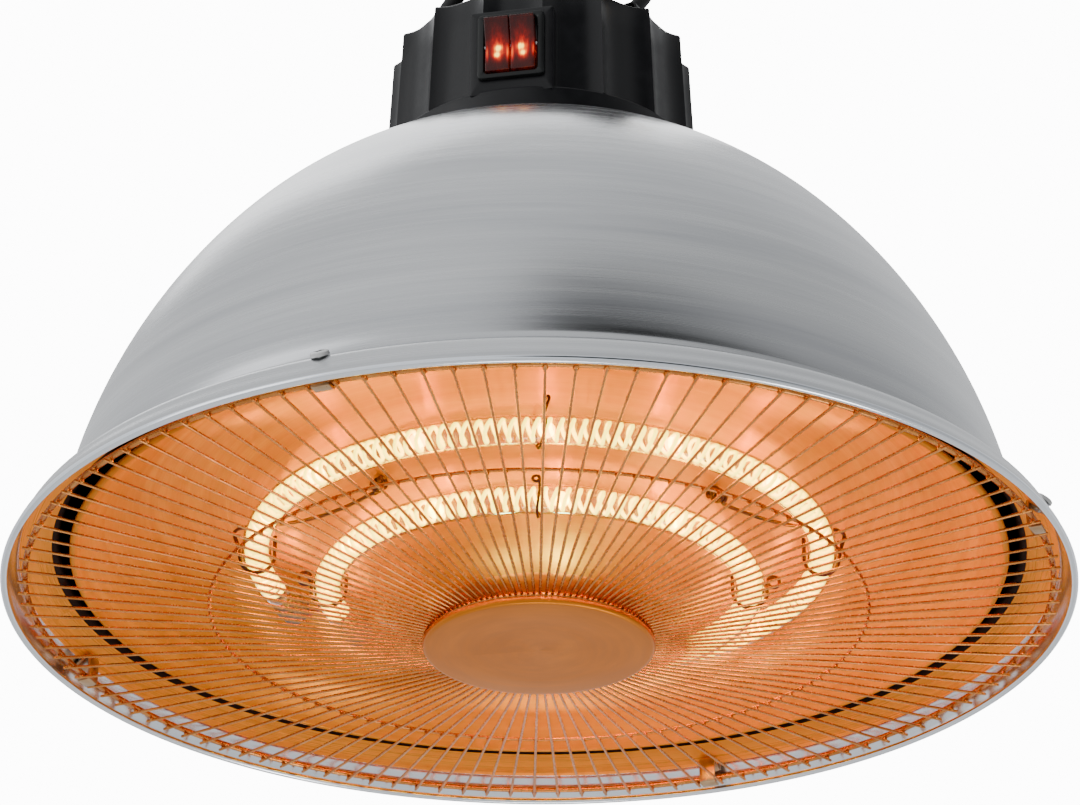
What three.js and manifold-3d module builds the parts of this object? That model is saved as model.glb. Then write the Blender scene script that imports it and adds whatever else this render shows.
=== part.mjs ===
// Hanging patio heater: a spun aluminium shade with two ring-shaped halogen lamps under a
// conical reflector, a wire guard, a fluted cap with a double rocker switch, and a hanging ring.
// Millimetres, +Z up. The origin is the point on the hanging ring that rests on the hook.
// The heater's own heights are measured from the plane of the shade's rim.
// Angles are seen from above, anticlockwise from +X. The switch faces -Y.

import * as THREE from 'three';
import { mergeVertices } from 'three/addons/utils/BufferGeometryUtils.js';
import Module from 'manifold-3d';

const wasm = await Module();
wasm.setup();

const DEG = Math.PI / 180;

// Shared clearances
const seatGap = 0.3;
const cutOverrun = 2;
const weldTolerance = 0.0001;

// Shade
const rimRadius = 212.5;
const rimBeadRadius = 1.5;
const shadeWall = 1;
const lipWidth = 21.5;
const lipHeight = 18.5;
const lipInsideLedge = 9;
const domeRadius = rimRadius - lipWidth - lipInsideLedge;
const domeCentreHeight = 22;
const domeTop = domeCentreHeight + domeRadius;
const domeFlare = 10;
const domeFlareAngle = 40 * DEG;
const lipWidthShares = [0.944, 0.86, 0.758, 0.63, 0.46, 0.02];
const lipHeightShares = [0.162, 0.324, 0.54, 0.66, 0.757, 0.973];
const shadeSides = 40;
const domeSteps = 7;
const beadSteps = 4;
const shadeBeadFrom = 155 * DEG;
const shadeBeadSweep = 235 * DEG;

// Reflector
const reflectorWall = 0.8;
const reflectorSetIn = 27.5;
const reflectorRimRadius = rimRadius - reflectorSetIn;
const reflectorRimHeight = 15;
const reflectorBeadRadius = 1.5;
const hubRadius = 42;
const hubHeight = -4;
const coneTopRadius = 115;
const coneTopHeight = 38;
const crownOutside = 16;
const crownRadius = coneTopRadius + crownOutside;
const crownRise = 4.5;
const crownHeight = coneTopHeight + crownRise;
const outerSlopeWidthShares = [0.26, 0.58, 0.88];
const outerSlopeHeightShares = [0.95, 0.67, 0.19];
const reflectorBeadFrom = 210 * DEG;
const reflectorBeadSweep = 240 * DEG;

// Lamps
const tubeRadius = 5.75;
const tubeWall = 0.8;
const outerTubeInsideTop = 2;
const outerTubeCircle = coneTopRadius - outerTubeInsideTop;
const outerTubeBelowCone = 14.35;
const tubeSpacing = 29;
const innerTubeCircle = outerTubeCircle - tubeSpacing;
const innerTubeBelowCone = 12.16;
const lampTurn = 11 * DEG;
const lampStartAngle = 158 * DEG + lampTurn;
const lampSweep = 302 * DEG;
const tubeSides = 8;
const outerTubeSteps = 21;
const innerTubeSteps = 17;
const filamentClearance = 0.65;
const filamentWireRadius = 0.7;
const outerFilamentCurls = 11;
const innerFilamentCurls = 8;
const curlSteps = 8;
const curlSides = 5;
const endCapLength = 13;
const endCapRadius = 6.5;
const endCapPinchWidth = 5;
const bushRadius = 4;
const bushFlangeRadius = 6.5;
const bushFlangeHeight = 2;
const bushDepth = 6;
const bushBoreRadius = 1.8;
const bushSetIn = 9;

// Lamp supports
const supportWireRadius = 0.8;
const supportAngles = [180 * DEG + lampTurn, -90 * DEG + lampTurn, lampTurn];
const supportNames = ['left', 'front', 'right'];
const supportSides = 5;
const supportEyeRadius = 2.6;
const hookSteps = 6;
const springInside = 21;
const springCircle = outerTubeCircle - springInside;
const springTurnShares = [0.1278, 0, -0.1111];
const springRadius = 2.2;
const springCurls = 3;
const springPitch = 2.3;
const springWayShares = [0.15, 0.35, 0.6, 0.85];

// Guard
const spokeCount = 120;
const spokeRadius = 0.6;
const spokeSides = 3;
const spokeSag = 0.1;
const outerRingSetIn = 9.5;
const outerRingCircle = rimRadius - outerRingSetIn;
const spokeOverhang = 2.5;
const spokeEndCircle = outerRingCircle + spokeOverhang;
const outerRingWireRadius = 1.2;
const outerRingHeight = 2.3;
const midRingShare = 0.6433;
const midRingCircle = midRingShare * outerRingCircle;
const midRingWireRadius = 0.7;
const midRingHeight = -2.6;
const ringSides = 4;
const outerRingSteps = 52;
const midRingSteps = 36;
const discRadius = 46;
const discHeight = -17.7;
const discSheet = 0.9;
const discWallHeight = 2.9;
const spokeCollarWidth = 6;
const spokeCollarSheet = 1.8;
const discEdgeRadius = 0.8;
const discSides = 36;
const collarSides = 20;

// Guard clips and their screws
const clipCount = 4;
const clipTurn = -11 * DEG;
const clipWidth = 7;
const clipSheet = 1.2;
const clipFootLength = 5;
const clipPlateHalf = 3;
const clipSetback = 1.3;
const clipScrewRadius = 1.7;
const clipScrewHeadRadius = 3.6;
const clipScrewHeadHeight = 1.8;
const clipScrewLength = 4.5;
const clipScrewPlaceShares = [0.69, 0.605];
const clipScrewTilt = 38 * DEG;
const screwSides = 8;

// Cap
const capTall = 53;
const capTopHeight = domeTop + capTall;
const capBaseRadius = 66.4;
const capTaper = 2.8;
const capTopRadius = capBaseRadius - capTaper;
const capBandHeight = domeTop;
const fluteCount = 16;
const fluteDepth = 4.4;
const flutePoints = 4;
const capChamfer = 1.6;
const capWall = 2.5;
const capTopWall = 2.5;
const capCavityRadius = capTopRadius - fluteDepth - capWall;

// Boss and double rocker switch
const bossWidth = 35;
const bossProud = 1;
const bossFace = capTopRadius + bossProud;
const bossBelowTop = 14;
const bossTopHeight = capTopHeight - bossBelowTop;
const switchBelowTop = 32.5;
const switchHeight = capTopHeight - switchBelowTop;
const bezelWidth = 28;
const bezelTall = 31;
const bezelProud = 2;
const switchBodyWidth = 25;
const switchBodyTall = 27.5;
const switchBodyDepth = 15;
const rockerWindowWidth = 21.6;
const rockerWindowTall = 26;
const rockerCavityDepth = 11;
const rockerGap = 0.4;
const rockerHalfTall = 12;
const rockerTilt = 10.5 * DEG;
const rockerPivotDepth = 1.7;
const rockerFaceAbovePivot = 2.5;
const rockerEdgeRise = 1.2;
const rockerWaist = 3.6;
const rockerWaistDepth = 1.4;
const rockerFootDepth = 3.2;
const rockerFootHalf = 2.4;
const pivotPinRadius = 1;
const neonRadius = 1.6;
const neonLength = 7;
const neonDrop = 6.6;

// Suspension
const rodRadius = 4;
const rodFootLength = 2;
const rodCollarRadius = 9;
const rodCollarHeight = 3;
const eyeRadius = 13;
const eyeWireRadius = 3.5;
const eyeNeck = 2;
const eyeSteps = 20;
const washerRadius = 11;
const washerSheet = 1.6;
const nutRadius = 7.4;
const nutHeight = 6;
const nutSides = 6;
const roundSides = 18;
const stiffenerSetIn = 14.7;
const stiffenerRadius = capCavityRadius - stiffenerSetIn;
const stiffenerSheet = 1.5;
const hangingRingRadius = 13;
const hangingRingWireRadius = 3;
const hangingRingStraight = 14;
const hangingRingSteps = 24;
const ringWireSides = 6;

// Wiring in the cap
const blockLength = 28;
const blockWidth = 14;
const blockTall = 12;
const blockSetIn = 12.7;
const blockCircle = capCavityRadius - blockSetIn;
const blockAngle = 140 * DEG;
const blockWayPitch = 6.5;
const blockBoreRadius = 1.9;
const leadWireRadius = 1.3;
const leadHoleRadius = 1.8;
const leadInsideBlock = 14;
const leadCircle = blockCircle - leadInsideBlock;
const leadSides = 5;
const leadRiseShares = [1.5, 3];
const leadWayShares = [[2, 0.45], [1, 0.72]];

// Mains cord, its gland and its plug. The way points stand over the cap's top and are turned with it
const cordRadius = 3.3;
const cordSides = 8;
const cordSteps = 30;
const cordTurn = 11 * DEG;
const glandPlace = [6.7, 17];
const glandFlangeRadius = 5.6;
const glandFlangeHeight = 3;
const glandThreadRadius = 4.4;
const glandThreadLength = 8;
const glandBoreRadius = 3.5;
const glandElbowRise = 3;
const glandConeLength = 17;
const glandConeRadius = 5.2;
const glandTipRadius = 4.4;
const glandLean = 45 * DEG;
const glandNutRadius = 7;
const glandNutHeight = 3;
const cordWayPoints = [
  [31.6, 17, 31.1], [37.8, 17.1, 37.5], [43.2, 18.4, 44.4], [46.9, 21.4, 51.9], [48.4, 26.2, 59.2],
  [47.5, 32.1, 65.8], [44.5, 38.7, 70.9], [39.5, 45.3, 74.1], [33, 51.4, 75.1], [25.7, 56.2, 73.8],
  [18.2, 59.4, 70.2], [11.2, 60.8, 64.9], [5.9, 60.9, 57.8], [3, 60.9, 49.4], [2.2, 60.9, 40.5],
  [1.9, 60.7, 31.6], [0.2, 59.5, 23], [-3.5, 56.8, 15.3], [-8.9, 52.9, 9.5], [-15.5, 48.1, 5.9],
];
const coilOuterCircle = 48;
const coilTurnPitch = 7.2;
const coilTurnsBelow = 2.67;
const coilTurnsAbove = 1.9688;
const coilClimbTurns = 0.5;
const coilClimbDip = 1.8;
const coilEndShare = 0.002;
const coilStartAngle = 126 * DEG;
const coilSteps = 24;
const coilSides = 6;
const tieWidth = 6;
const tieSheet = 0.8;
const tieAngle = 330 * DEG;
const tieInnerCircle = 25.4;
const tieOuterCircle = 47.4;
const plugLeadSteps = 12;
const plugLeadPoints = [
  [-43, -15.5, 12.2], [-39, -25.2, 13.6], [-32.9, -32.8, 16.6], [-26.2, -37.3, 20.7],
  [-18, -39.9, 25.9], [-9.4, -41, 30.3], [1.2, -41, 32.9],
];
const plugCentre = [8, -41, 32.9];
const plugTailRadius = 4.6;
const plugTailLength = 14;
const plugGripRadius = 13;
const plugGripLength = 14;
const plugFaceRadius = 17.5;
const plugFaceLength = 12;
const plugEdgeRound = 2;
const plugPinRadius = 2.4;
const plugPinLength = 19;
const plugPinSpacing = 19;
const plugSides = 16;

// Materials
const paint = (color, roughness, metalness) =>
  new THREE.MeshStandardMaterial({ color, roughness, metalness });
const aluminium = paint(0xb4b6b8, 0.38, 0.9);
const polished = paint(0xd9d6d0, 0.16, 1);
const blackPlastic = paint(0x1d1d1f, 0.45, 0);
const quartz = paint(0xf3e6d2, 0.05, 0);
const glowing = paint(0xffb45a, 0.5, 0.1);
const ceramic = paint(0xe8e2d6, 0.6, 0);
const chromeWire = paint(0xb9b2a6, 0.25, 1);
const springSteel = paint(0x5a534c, 0.4, 0.9);
const plainSteel = paint(0xa9abad, 0.35, 0.95);
const redRocker = paint(0xd8210f, 0.2, 0);
const neonGlass = paint(0xffc27a, 0.15, 0);
const brass = paint(0xc19a4a, 0.35, 0.9);
const rubber = paint(0x151516, 0.7, 0);
const leadRed = paint(0xa33a2a, 0.6, 0);

// Shape helpers

const flat = (points) => points.map(([x, y]) => new THREE.Vector2(x, y));

function turned(points, sides) {
  return faceOut(new THREE.LatheGeometry(flat(points), sides).rotateX(90 * DEG));
}

function faceOut(geometry) {
  const bare = geometry.clone();
  bare.deleteAttribute('normal');
  bare.deleteAttribute('uv');
  const joined = mergeVertices(bare, weldTolerance);
  const place = joined.attributes.position;
  const index = joined.index.array;
  const kept = [];
  let volume = 0;
  const a = new THREE.Vector3();
  const b = new THREE.Vector3();
  const c = new THREE.Vector3();
  for (let i = 0; i < index.length; i += 3) {
    const [p, q, r] = [index[i], index[i + 1], index[i + 2]];
    if (p === q || q === r || p === r) continue;
    a.fromBufferAttribute(place, p);
    b.fromBufferAttribute(place, q);
    c.fromBufferAttribute(place, r);
    volume += a.dot(b.cross(c));
    kept.push(p, q, r);
  }
  if (volume < 0) kept.reverse();
  joined.setIndex(kept);
  return joined;
}

function solid(geometry) {
  const bare = faceOut(geometry);
  return new wasm.Manifold(new wasm.Mesh({
    numProp: 3,
    vertProperties: new Float32Array(bare.attributes.position.array),
    triVerts: new Uint32Array(bare.index.array),
  }));
}

function geometryOf(manifold) {
  const { vertProperties, triVerts } = manifold.getMesh();
  const geometry = new THREE.BufferGeometry();
  geometry.setAttribute('position', new THREE.BufferAttribute(new Float32Array(vertProperties), 3));
  geometry.setIndex(new THREE.BufferAttribute(new Uint32Array(triVerts), 1));
  return geometry;
}

const cut = (base, ...tools) =>
  geometryOf(tools.reduce((body, tool) => body.subtract(solid(tool)), solid(base)));

const joinAll = (geometries) =>
  geometries.map(solid).reduce((body, next) => body.add(next));

function circleShape(radius, sides) {
  const shape = new THREE.Shape();
  for (let i = 0; i < sides; i += 1) {
    const angle = (i / sides) * 2 * Math.PI;
    const [x, y] = [radius * Math.cos(angle), radius * Math.sin(angle)];
    if (i === 0) shape.moveTo(x, y);
    else shape.lineTo(x, y);
  }
  shape.closePath();
  return shape;
}

function along(curve, radius, sides, steps) {
  return new THREE.ExtrudeGeometry(circleShape(radius, sides), { steps, extrudePath: curve });
}

// A run whose steps fall exactly on its knots
class KnotRun extends THREE.CatmullRomCurve3 {
  getPointAt(share, target) {
    return this.getPoint(share, target);
  }

  getTangentAt(share, target) {
    return this.getTangent(share, target);
  }
}

function throughKnots(knots, radius, sides) {
  return along(new KnotRun(knots, false, 'centripetal'), radius, sides, knots.length - 1);
}

function upright(radius, low, high, sides) {
  const tall = high - low;
  return new THREE.CylinderGeometry(radius, radius, tall, sides)
    .rotateX(90 * DEG)
    .translate(0, 0, low + tall / 2);
}

const polar = (radius, angle, height) =>
  new THREE.Vector3(radius * Math.cos(angle), radius * Math.sin(angle), height);

function slab(outline, thickness) {
  const shape = new THREE.Shape(flat(outline));
  return new THREE.ExtrudeGeometry(shape, { depth: thickness, bevelEnabled: false });
}

function leastGap(name, points, radius) {
  let least = Infinity;
  for (let i = 0; i < points.length; i += 1) {
    let run = 0;
    for (let j = i + 1; j < points.length; j += 1) {
      run += points[j].distanceTo(points[j - 1]);
      if (run < radius * Math.PI * 2) continue;
      least = Math.min(least, points[i].distanceTo(points[j]));
    }
  }
  console.log(`${name}: least gap to itself ${(least - 2 * radius).toFixed(2)} mm`);
}

// The tree: the hanging ring is the root, and the heater hangs from it

const rodCollarFoot = capTopHeight + seatGap + washerSheet + seatGap;
const eyeCentreHeight = rodCollarFoot + rodCollarHeight + eyeNeck + eyeRadius;
const eyeTopCentre = eyeCentreHeight + eyeRadius;
const ringFootCentre = eyeTopCentre - eyeWireRadius - seatGap - hangingRingWireRadius;
const ringTopCentre = ringFootCentre + 2 * hangingRingRadius + hangingRingStraight;
const hangHeight = ringTopCentre - hangingRingWireRadius;

const heater = new THREE.Group();
heater.position.z = -hangHeight;
const whole = new THREE.Group();
whole.add(heater);

function add(name, geometry, material) {
  const mesh = new THREE.Mesh(faceOut(geometry), material);
  mesh.name = name;
  heater.add(mesh);
  return mesh;
}

// Shade: dome, flared lip and rolled rim as one spun sheet

function domeReach(angle) {
  const flare = Math.max(0, 1 - angle / domeFlareAngle);
  return domeRadius + domeFlare * flare * flare;
}

function domePoint(angle, inset) {
  const reach = domeReach(angle) - inset;
  return [reach * Math.cos(angle), domeCentreHeight + reach * Math.sin(angle)];
}

function domeHeightAt(radius) {
  return domeCentreHeight + Math.sqrt(domeRadius * domeRadius - radius * radius);
}

const rodHoleRadius = rodRadius + seatGap;
const domeTopAngle = Math.acos(rodHoleRadius / domeRadius);
const lipFootRadius = rimRadius - lipWidth;

function lipPoints(inset) {
  return lipWidthShares.map((share, i) => {
    const before = [lipWidthShares[i - 1] ?? 1, lipHeightShares[i - 1] ?? 0];
    const after = [lipWidthShares[i + 1] ?? 0, lipHeightShares[i + 1] ?? 1];
    const run = (after[0] - before[0]) * lipWidth;
    const rise = (after[1] - before[1]) * lipHeight;
    const length = Math.hypot(run, rise);
    return [
      lipFootRadius + share * lipWidth - (inset * rise) / length,
      lipHeightShares[i] * lipHeight + (inset * run) / length,
    ];
  });
}

function domePoints(inset) {
  const points = [];
  for (let i = 0; i <= domeSteps; i += 1) {
    points.push(domePoint((domeTopAngle * i) / domeSteps, inset));
  }
  return points;
}

function beadPoints() {
  const points = [];
  for (let i = 0; i <= beadSteps; i += 1) {
    const angle = shadeBeadFrom + (shadeBeadSweep * i) / beadSteps;
    points.push([
      rimRadius - rimBeadRadius + rimBeadRadius * Math.cos(angle),
      rimBeadRadius * Math.sin(angle),
    ]);
  }
  return points;
}

const shadeOutline = [
  ...beadPoints(),
  ...lipPoints(0),
  ...domePoints(0),
  ...domePoints(shadeWall).reverse(),
  ...lipPoints(shadeWall).reverse(),
];
shadeOutline.push(shadeOutline[0]);

const clipAngles = Array.from({ length: clipCount }, (_, i) => clipTurn + (i * 2 * Math.PI) / clipCount);

// A clip screw lies square to the lip at its own height
const clipScrewFoot = [
  lipFootRadius + clipScrewPlaceShares[0] * lipWidth,
  clipScrewPlaceShares[1] * lipHeight,
];

function clipScrewShape(radius, low, high) {
  return upright(radius, low, high, screwSides)
    .rotateY(clipScrewTilt)
    .translate(clipScrewFoot[0], 0, clipScrewFoot[1]);
}

const turnedTo = (geometry, angle) => geometry.rotateZ(angle);

const leadWays = [-1.5, -0.5, 0.5, 1.5].map((way) => way * blockWayPitch);

function leadHoles(low, high) {
  return leadWays.map((offset) => turnedTo(
    upright(leadHoleRadius, low, high, screwSides).translate(leadCircle, offset, 0),
    blockAngle,
  ));
}

const shadeCuts = [
  ...clipAngles.map((angle) => turnedTo(
    clipScrewShape(clipScrewRadius + seatGap, -lipHeight / 2, lipHeight / 2),
    angle,
  )),
  ...leadHoles(domeTop - domeCentreHeight, domeTop + cutOverrun),
];
add('shade', cut(turnedTo(turned(shadeOutline, shadeSides), clipTurn), ...shadeCuts), aluminium);

// Reflector: flat hub, cone, crown and outer slope down to a rolled rim

const coneSlope = Math.atan2(coneTopHeight - hubHeight, coneTopRadius - hubRadius);
const coneHeightAt = (radius) => hubHeight + (radius - hubRadius) * Math.tan(coneSlope);

function reflectorFace(lift) {
  const points = [
    [rodHoleRadius, hubHeight + lift],
    [hubRadius - lift * Math.tan(coneSlope / 2), hubHeight + lift],
    [coneTopRadius, coneTopHeight + lift / Math.cos(coneSlope)],
    [crownRadius, crownHeight + lift],
  ];
  outerSlopeWidthShares.forEach((share, i) => {
    const rise = outerSlopeHeightShares[i];
    points.push([
      crownRadius + share * (reflectorRimRadius - crownRadius) + lift * share,
      reflectorRimHeight + rise * (crownHeight - reflectorRimHeight) + lift,
    ]);
  });
  return points;
}

function reflectorBead() {
  const points = [];
  for (let i = 0; i <= beadSteps; i += 1) {
    const angle = reflectorBeadFrom + (reflectorBeadSweep * i) / beadSteps;
    points.push([
      reflectorRimRadius + reflectorBeadRadius * Math.cos(angle),
      reflectorRimHeight + reflectorBeadRadius * Math.sin(angle),
    ]);
  }
  return points;
}

const reflectorOutline = [
  ...reflectorFace(0),
  ...reflectorBead(),
  ...reflectorFace(reflectorWall).reverse(),
];
reflectorOutline.push(reflectorOutline[0]);

// Lamp ends: where each tube stops, and which way the gap lies from there

const bushRun = endCapLength + bushFlangeRadius + seatGap * 2;
const lamps = [
  { name: 'outer', circle: outerTubeCircle, height: coneHeightAt(outerTubeCircle) - outerTubeBelowCone,
    steps: outerTubeSteps, curls: outerFilamentCurls },
  { name: 'inner', circle: innerTubeCircle, height: coneHeightAt(innerTubeCircle) - innerTubeBelowCone,
    steps: innerTubeSteps, curls: innerFilamentCurls },
];
const lampEnds = lamps.flatMap((lamp) => [
  { lamp, label: `${lamp.name}_start`, angle: lampStartAngle, side: -1 },
  { lamp, label: `${lamp.name}_end`, angle: lampStartAngle + lampSweep, side: 1 },
]);
for (const end of lampEnds) {
  end.bushAngle = end.angle + (end.side * bushRun) / end.lamp.circle;
  end.bushCircle = end.lamp.circle - bushSetIn;
}

function onCone(geometry, circle, angle) {
  return geometry
    .rotateY(-coneSlope)
    .translate(circle, 0, coneHeightAt(circle))
    .rotateZ(angle);
}

const bushCuts = lampEnds.map((end) => onCone(
  upright(bushRadius + seatGap, -bushDepth, bushDepth, screwSides),
  end.bushCircle,
  end.bushAngle,
));
add('reflector', cut(turned(reflectorOutline, shadeSides), ...bushCuts), polished);

// Lamps: quartz tubes bent to a ring, the wound filament inside, and a ceramic cap on each end

class RingArc extends THREE.Curve {
  constructor(circle, height, start, sweep) {
    super();
    Object.assign(this, { circle, height, start, sweep });
  }

  getPoint(share, target = new THREE.Vector3()) {
    return target.copy(polar(this.circle, this.start + share * this.sweep, this.height));
  }
}

// A tube runs straight between its steps, so its middle lies a little inside its circle there
function chordCircle(arc, steps, run) {
  const step = arc.sweep / steps;
  return (arc.circle * Math.cos(step / 2)) / Math.cos((run % step) - step / 2);
}

class RingHelix extends THREE.Curve {
  constructor(bore, steps, inset, radius, curls) {
    super();
    Object.assign(this, { bore, steps, inset, radius, curls });
  }

  getPoint(share, target = new THREE.Vector3()) {
    const { height, start, sweep } = this.bore;
    const turn = share * this.curls * 2 * Math.PI;
    const along = this.inset + share * (sweep - 2 * this.inset);
    return target.copy(polar(
      chordCircle(this.bore, this.steps, along) + this.radius * Math.cos(turn),
      start + along,
      height + this.radius * Math.sin(turn),
    ));
  }

  getPointAt(share, target) {
    return this.getPoint(share, target);
  }

  getTangentAt(share, target) {
    return this.getTangent(share, target);
  }
}

const filamentRadius = tubeRadius - tubeWall - filamentClearance - filamentWireRadius;

function windAlong(name, curve, curls, steps, sides, wire) {
  const count = Math.round(curls * steps);
  const points = [];
  for (let i = 0; i <= count; i += 1) points.push(curve.getPoint(i / count));
  leastGap(name, points, wire);
  return along(curve, wire, sides, count);
}

for (const lamp of lamps) {
  const arc = new RingArc(lamp.circle, lamp.height, lampStartAngle, lampSweep);
  const bore = new RingArc(
    lamp.circle, lamp.height,
    lampStartAngle - cutOverrun / lamp.circle, lampSweep + (2 * cutOverrun) / lamp.circle,
  );
  add(`${lamp.name}_tube`, cut(
    along(arc, tubeRadius, tubeSides, lamp.steps),
    along(bore, tubeRadius - tubeWall, tubeSides, lamp.steps),
  ), quartz);
  const inset = (endCapPinchWidth + cutOverrun) / lamp.circle;
  const helix = new RingHelix(bore, lamp.steps, inset, filamentRadius, lamp.curls);
  add(`${lamp.name}_filament`, windAlong(
    `${lamp.name}_filament`, helix, lamp.curls, curlSteps, curlSides, filamentWireRadius,
  ), glowing);
}

for (const end of lampEnds) {
  const { lamp, side } = end;
  const cap = new THREE.CylinderGeometry(endCapRadius, endCapRadius, endCapLength, tubeSides)
    .translate(0, side * (endCapLength / 2 + seatGap), 0)
    .translate(lamp.circle, 0, lamp.height)
    .rotateZ(end.angle);
  add(`${end.label}_end_cap`, cap, ceramic);
  const bush = cut(
    geometryOf(joinAll([
      upright(bushRadius, -bushFlangeHeight, bushDepth, screwSides),
      upright(bushFlangeRadius, -seatGap - bushFlangeHeight, -seatGap, screwSides),
    ])),
    upright(bushBoreRadius, -bushDepth, bushDepth + cutOverrun, screwSides),
  );
  add(`${end.label}_bush`, onCone(bush, end.bushCircle, end.bushAngle), ceramic);
}

// Lamp leads: from each end cap through its bush, over the reflector and up into the cap

const stiffenerHeight = domeTop + seatGap;
const blockFoot = stiffenerHeight + stiffenerSheet + seatGap;
const leadOrder = [3, 0, 2, 1];
lampEnds.forEach((end, i) => {
  const { lamp, side } = end;
  const across = leadWays[leadOrder[i]];
  const capFace = new THREE.Vector3(0, side * (endCapLength + 2 * seatGap), 0)
    .add(new THREE.Vector3(lamp.circle, 0, lamp.height))
    .applyAxisAngle(new THREE.Vector3(0, 0, 1), end.angle);
  const normal = new THREE.Vector3(-Math.sin(coneSlope), 0, Math.cos(coneSlope))
    .applyAxisAngle(new THREE.Vector3(0, 0, 1), end.bushAngle);
  const bushFoot = polar(end.bushCircle, end.bushAngle, coneHeightAt(end.bushCircle));
  const below = bushFoot.clone().addScaledVector(normal, -bushDepth);
  const [above, clear] = leadRiseShares.map((share) =>
    bushFoot.clone().addScaledVector(normal, bushDepth * share));
  const up = (circle, height) => new THREE.Vector3(circle, across, height)
    .applyAxisAngle(new THREE.Vector3(0, 0, 1), blockAngle);
  const clearOfCap = capFace.clone().addScaledVector(
    new THREE.Vector3(-Math.sin(end.angle), Math.cos(end.angle), 0), side * 2 * leadWireRadius,
  );
  const run = [
    capFace,
    clearOfCap,
    below,
    bushFoot,
    above,
    clear,
    ...leadWayShares.map(([out, rise]) => up(leadCircle * out, domeTop * rise)),
    up(leadCircle, domeTop - domeCentreHeight),
    up(leadCircle, blockFoot),
    up(leadCircle + leadWireRadius, blockFoot + blockTall / 2 - leadWireRadius * 2),
    up(blockCircle - blockWidth / 2 - leadWireRadius * 2, blockFoot + blockTall / 2),
    up(blockCircle - blockWidth / 2 + blockWidth / 3, blockFoot + blockTall / 2),
  ];
  add(`${end.label}_lead`, throughKnots(run, leadWireRadius, leadSides), leadRed);
});

const block = new THREE.BoxGeometry(blockWidth, blockLength, blockTall)
  .translate(blockCircle, 0, blockFoot + blockTall / 2);
const blockBores = leadWays.map((offset) =>
  new THREE.CylinderGeometry(blockBoreRadius, blockBoreRadius, blockWidth + 2 * cutOverrun, screwSides)
    .rotateZ(90 * DEG)
    .translate(blockCircle, offset, blockFoot + blockTall / 2));
add('terminal_block', turnedTo(cut(block, ...blockBores), blockAngle), ceramic);

// Lamp supports: a wire under each tube, hooked through the reflector on both sides of it

function underTube(lamp, angle) {
  const hookStep = 180 / hookSteps;
  const reach = (tubeRadius + seatGap + supportWireRadius) / Math.cos((hookStep / 2) * DEG);
  const arc = { circle: lamp.circle, sweep: lampSweep };
  const run = (angle - lampStartAngle + 4 * Math.PI) % (2 * Math.PI);
  const middle = chordCircle(arc, lamp.steps, run);
  const under = (supportWireRadius + seatGap) / Math.cos(coneSlope);
  const hook = Array.from({ length: hookSteps + 1 }, (_, i) => [
    middle + reach * Math.cos((180 + i * hookStep) * DEG),
    lamp.height + reach * Math.sin((180 + i * hookStep) * DEG),
  ]);
  return [
    [middle - reach, coneHeightAt(middle - reach) - under],
    ...hook,
    [middle + reach + supportEyeRadius, coneHeightAt(lamp.circle) - reach / 2],
  ];
}

function springRun(hookEnd, angle, turnFromHook) {
  const sag = (springRadius + supportWireRadius + seatGap) / Math.cos(coneSlope);
  const start = polar(hookEnd[0], angle, 0);
  const stop = polar(springCircle, angle + turnFromHook, 0);
  const heading = stop.clone().sub(start).normalize();
  const across = new THREE.Vector3(0, 0, 1).cross(heading);
  const lift = (place) => coneHeightAt(Math.hypot(place.x, place.y)) - sag;
  const points = springWayShares.map((share) => {
    const place = start.clone().lerp(stop, share);
    place.z = lift(place) - springRadius;
    return place;
  });
  for (let i = 0; i <= springCurls * curlSteps; i += 1) {
    const turn = (i / curlSteps) * 2 * Math.PI;
    const place = stop.clone().addScaledVector(heading, (i / curlSteps) * springPitch);
    place.z = lift(place) - springRadius * Math.cos(turn);
    points.push(place.addScaledVector(across, springRadius * Math.sin(turn)));
  }
  return points;
}

for (const lamp of lamps) {
  supportAngles.forEach((angle, i) => {
    const name = `${lamp.name}_support_${supportNames[i]}`;
    const profile = underTube(lamp, angle);
    const knots = profile.map(([radius, height]) => polar(radius, angle, height));
    const turnFromHook = springTurnShares[i] * 2 * Math.PI;
    if (lamp.name === 'outer' && turnFromHook !== 0) {
      const run = springRun(profile[profile.length - 1], angle, turnFromHook);
      leastGap(name, run, supportWireRadius);
      knots.push(...run);
    }
    add(name, throughKnots(knots, supportWireRadius, supportSides), springSteel);
  });
}

// Guard: spokes joined at a collar, the two rings they are welded to, and the pressed disc

const spokeUnder = (ringHeight, ringWire) => ringHeight - ringWire - seatGap - spokeRadius;
const discTop = discHeight + discWallHeight;
const spokeHubHeight = discTop + seatGap + spokeRadius + spokeSag;
const spokeMidHeight = spokeUnder(midRingHeight, midRingWireRadius);
const spokeOuterHeight = spokeUnder(outerRingHeight, outerRingWireRadius);
const spokeSlope = (spokeOuterHeight - spokeMidHeight) / (outerRingCircle - midRingCircle);
const collarOuter = discRadius - discSheet;
const collarInner = collarOuter - spokeCollarWidth;
const spokeLine = [
  [collarInner + spokeCollarWidth / 2, spokeHubHeight],
  [midRingCircle, spokeMidHeight],
  [spokeEndCircle, spokeOuterHeight + spokeSlope * (spokeEndCircle - outerRingCircle)],
];
const spokes = Array.from({ length: spokeCount }, (_, i) => {
  const angle = clipTurn + ((i + 0.5) / spokeCount) * 2 * Math.PI;
  const places = spokeLine.map(([radius, height]) => polar(radius, angle, height));
  return throughKnots(places, spokeRadius, spokeSides);
});
const collar = turned([
  [collarInner, discTop + seatGap],
  [collarOuter, discTop + seatGap],
  [collarOuter, discTop + seatGap + spokeCollarSheet],
  [collarInner, discTop + seatGap + spokeCollarSheet],
  [collarInner, discTop + seatGap],
], collarSides);
add('guard_spokes', geometryOf(joinAll([turnedTo(collar, clipTurn), ...spokes])), chromeWire);

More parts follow.
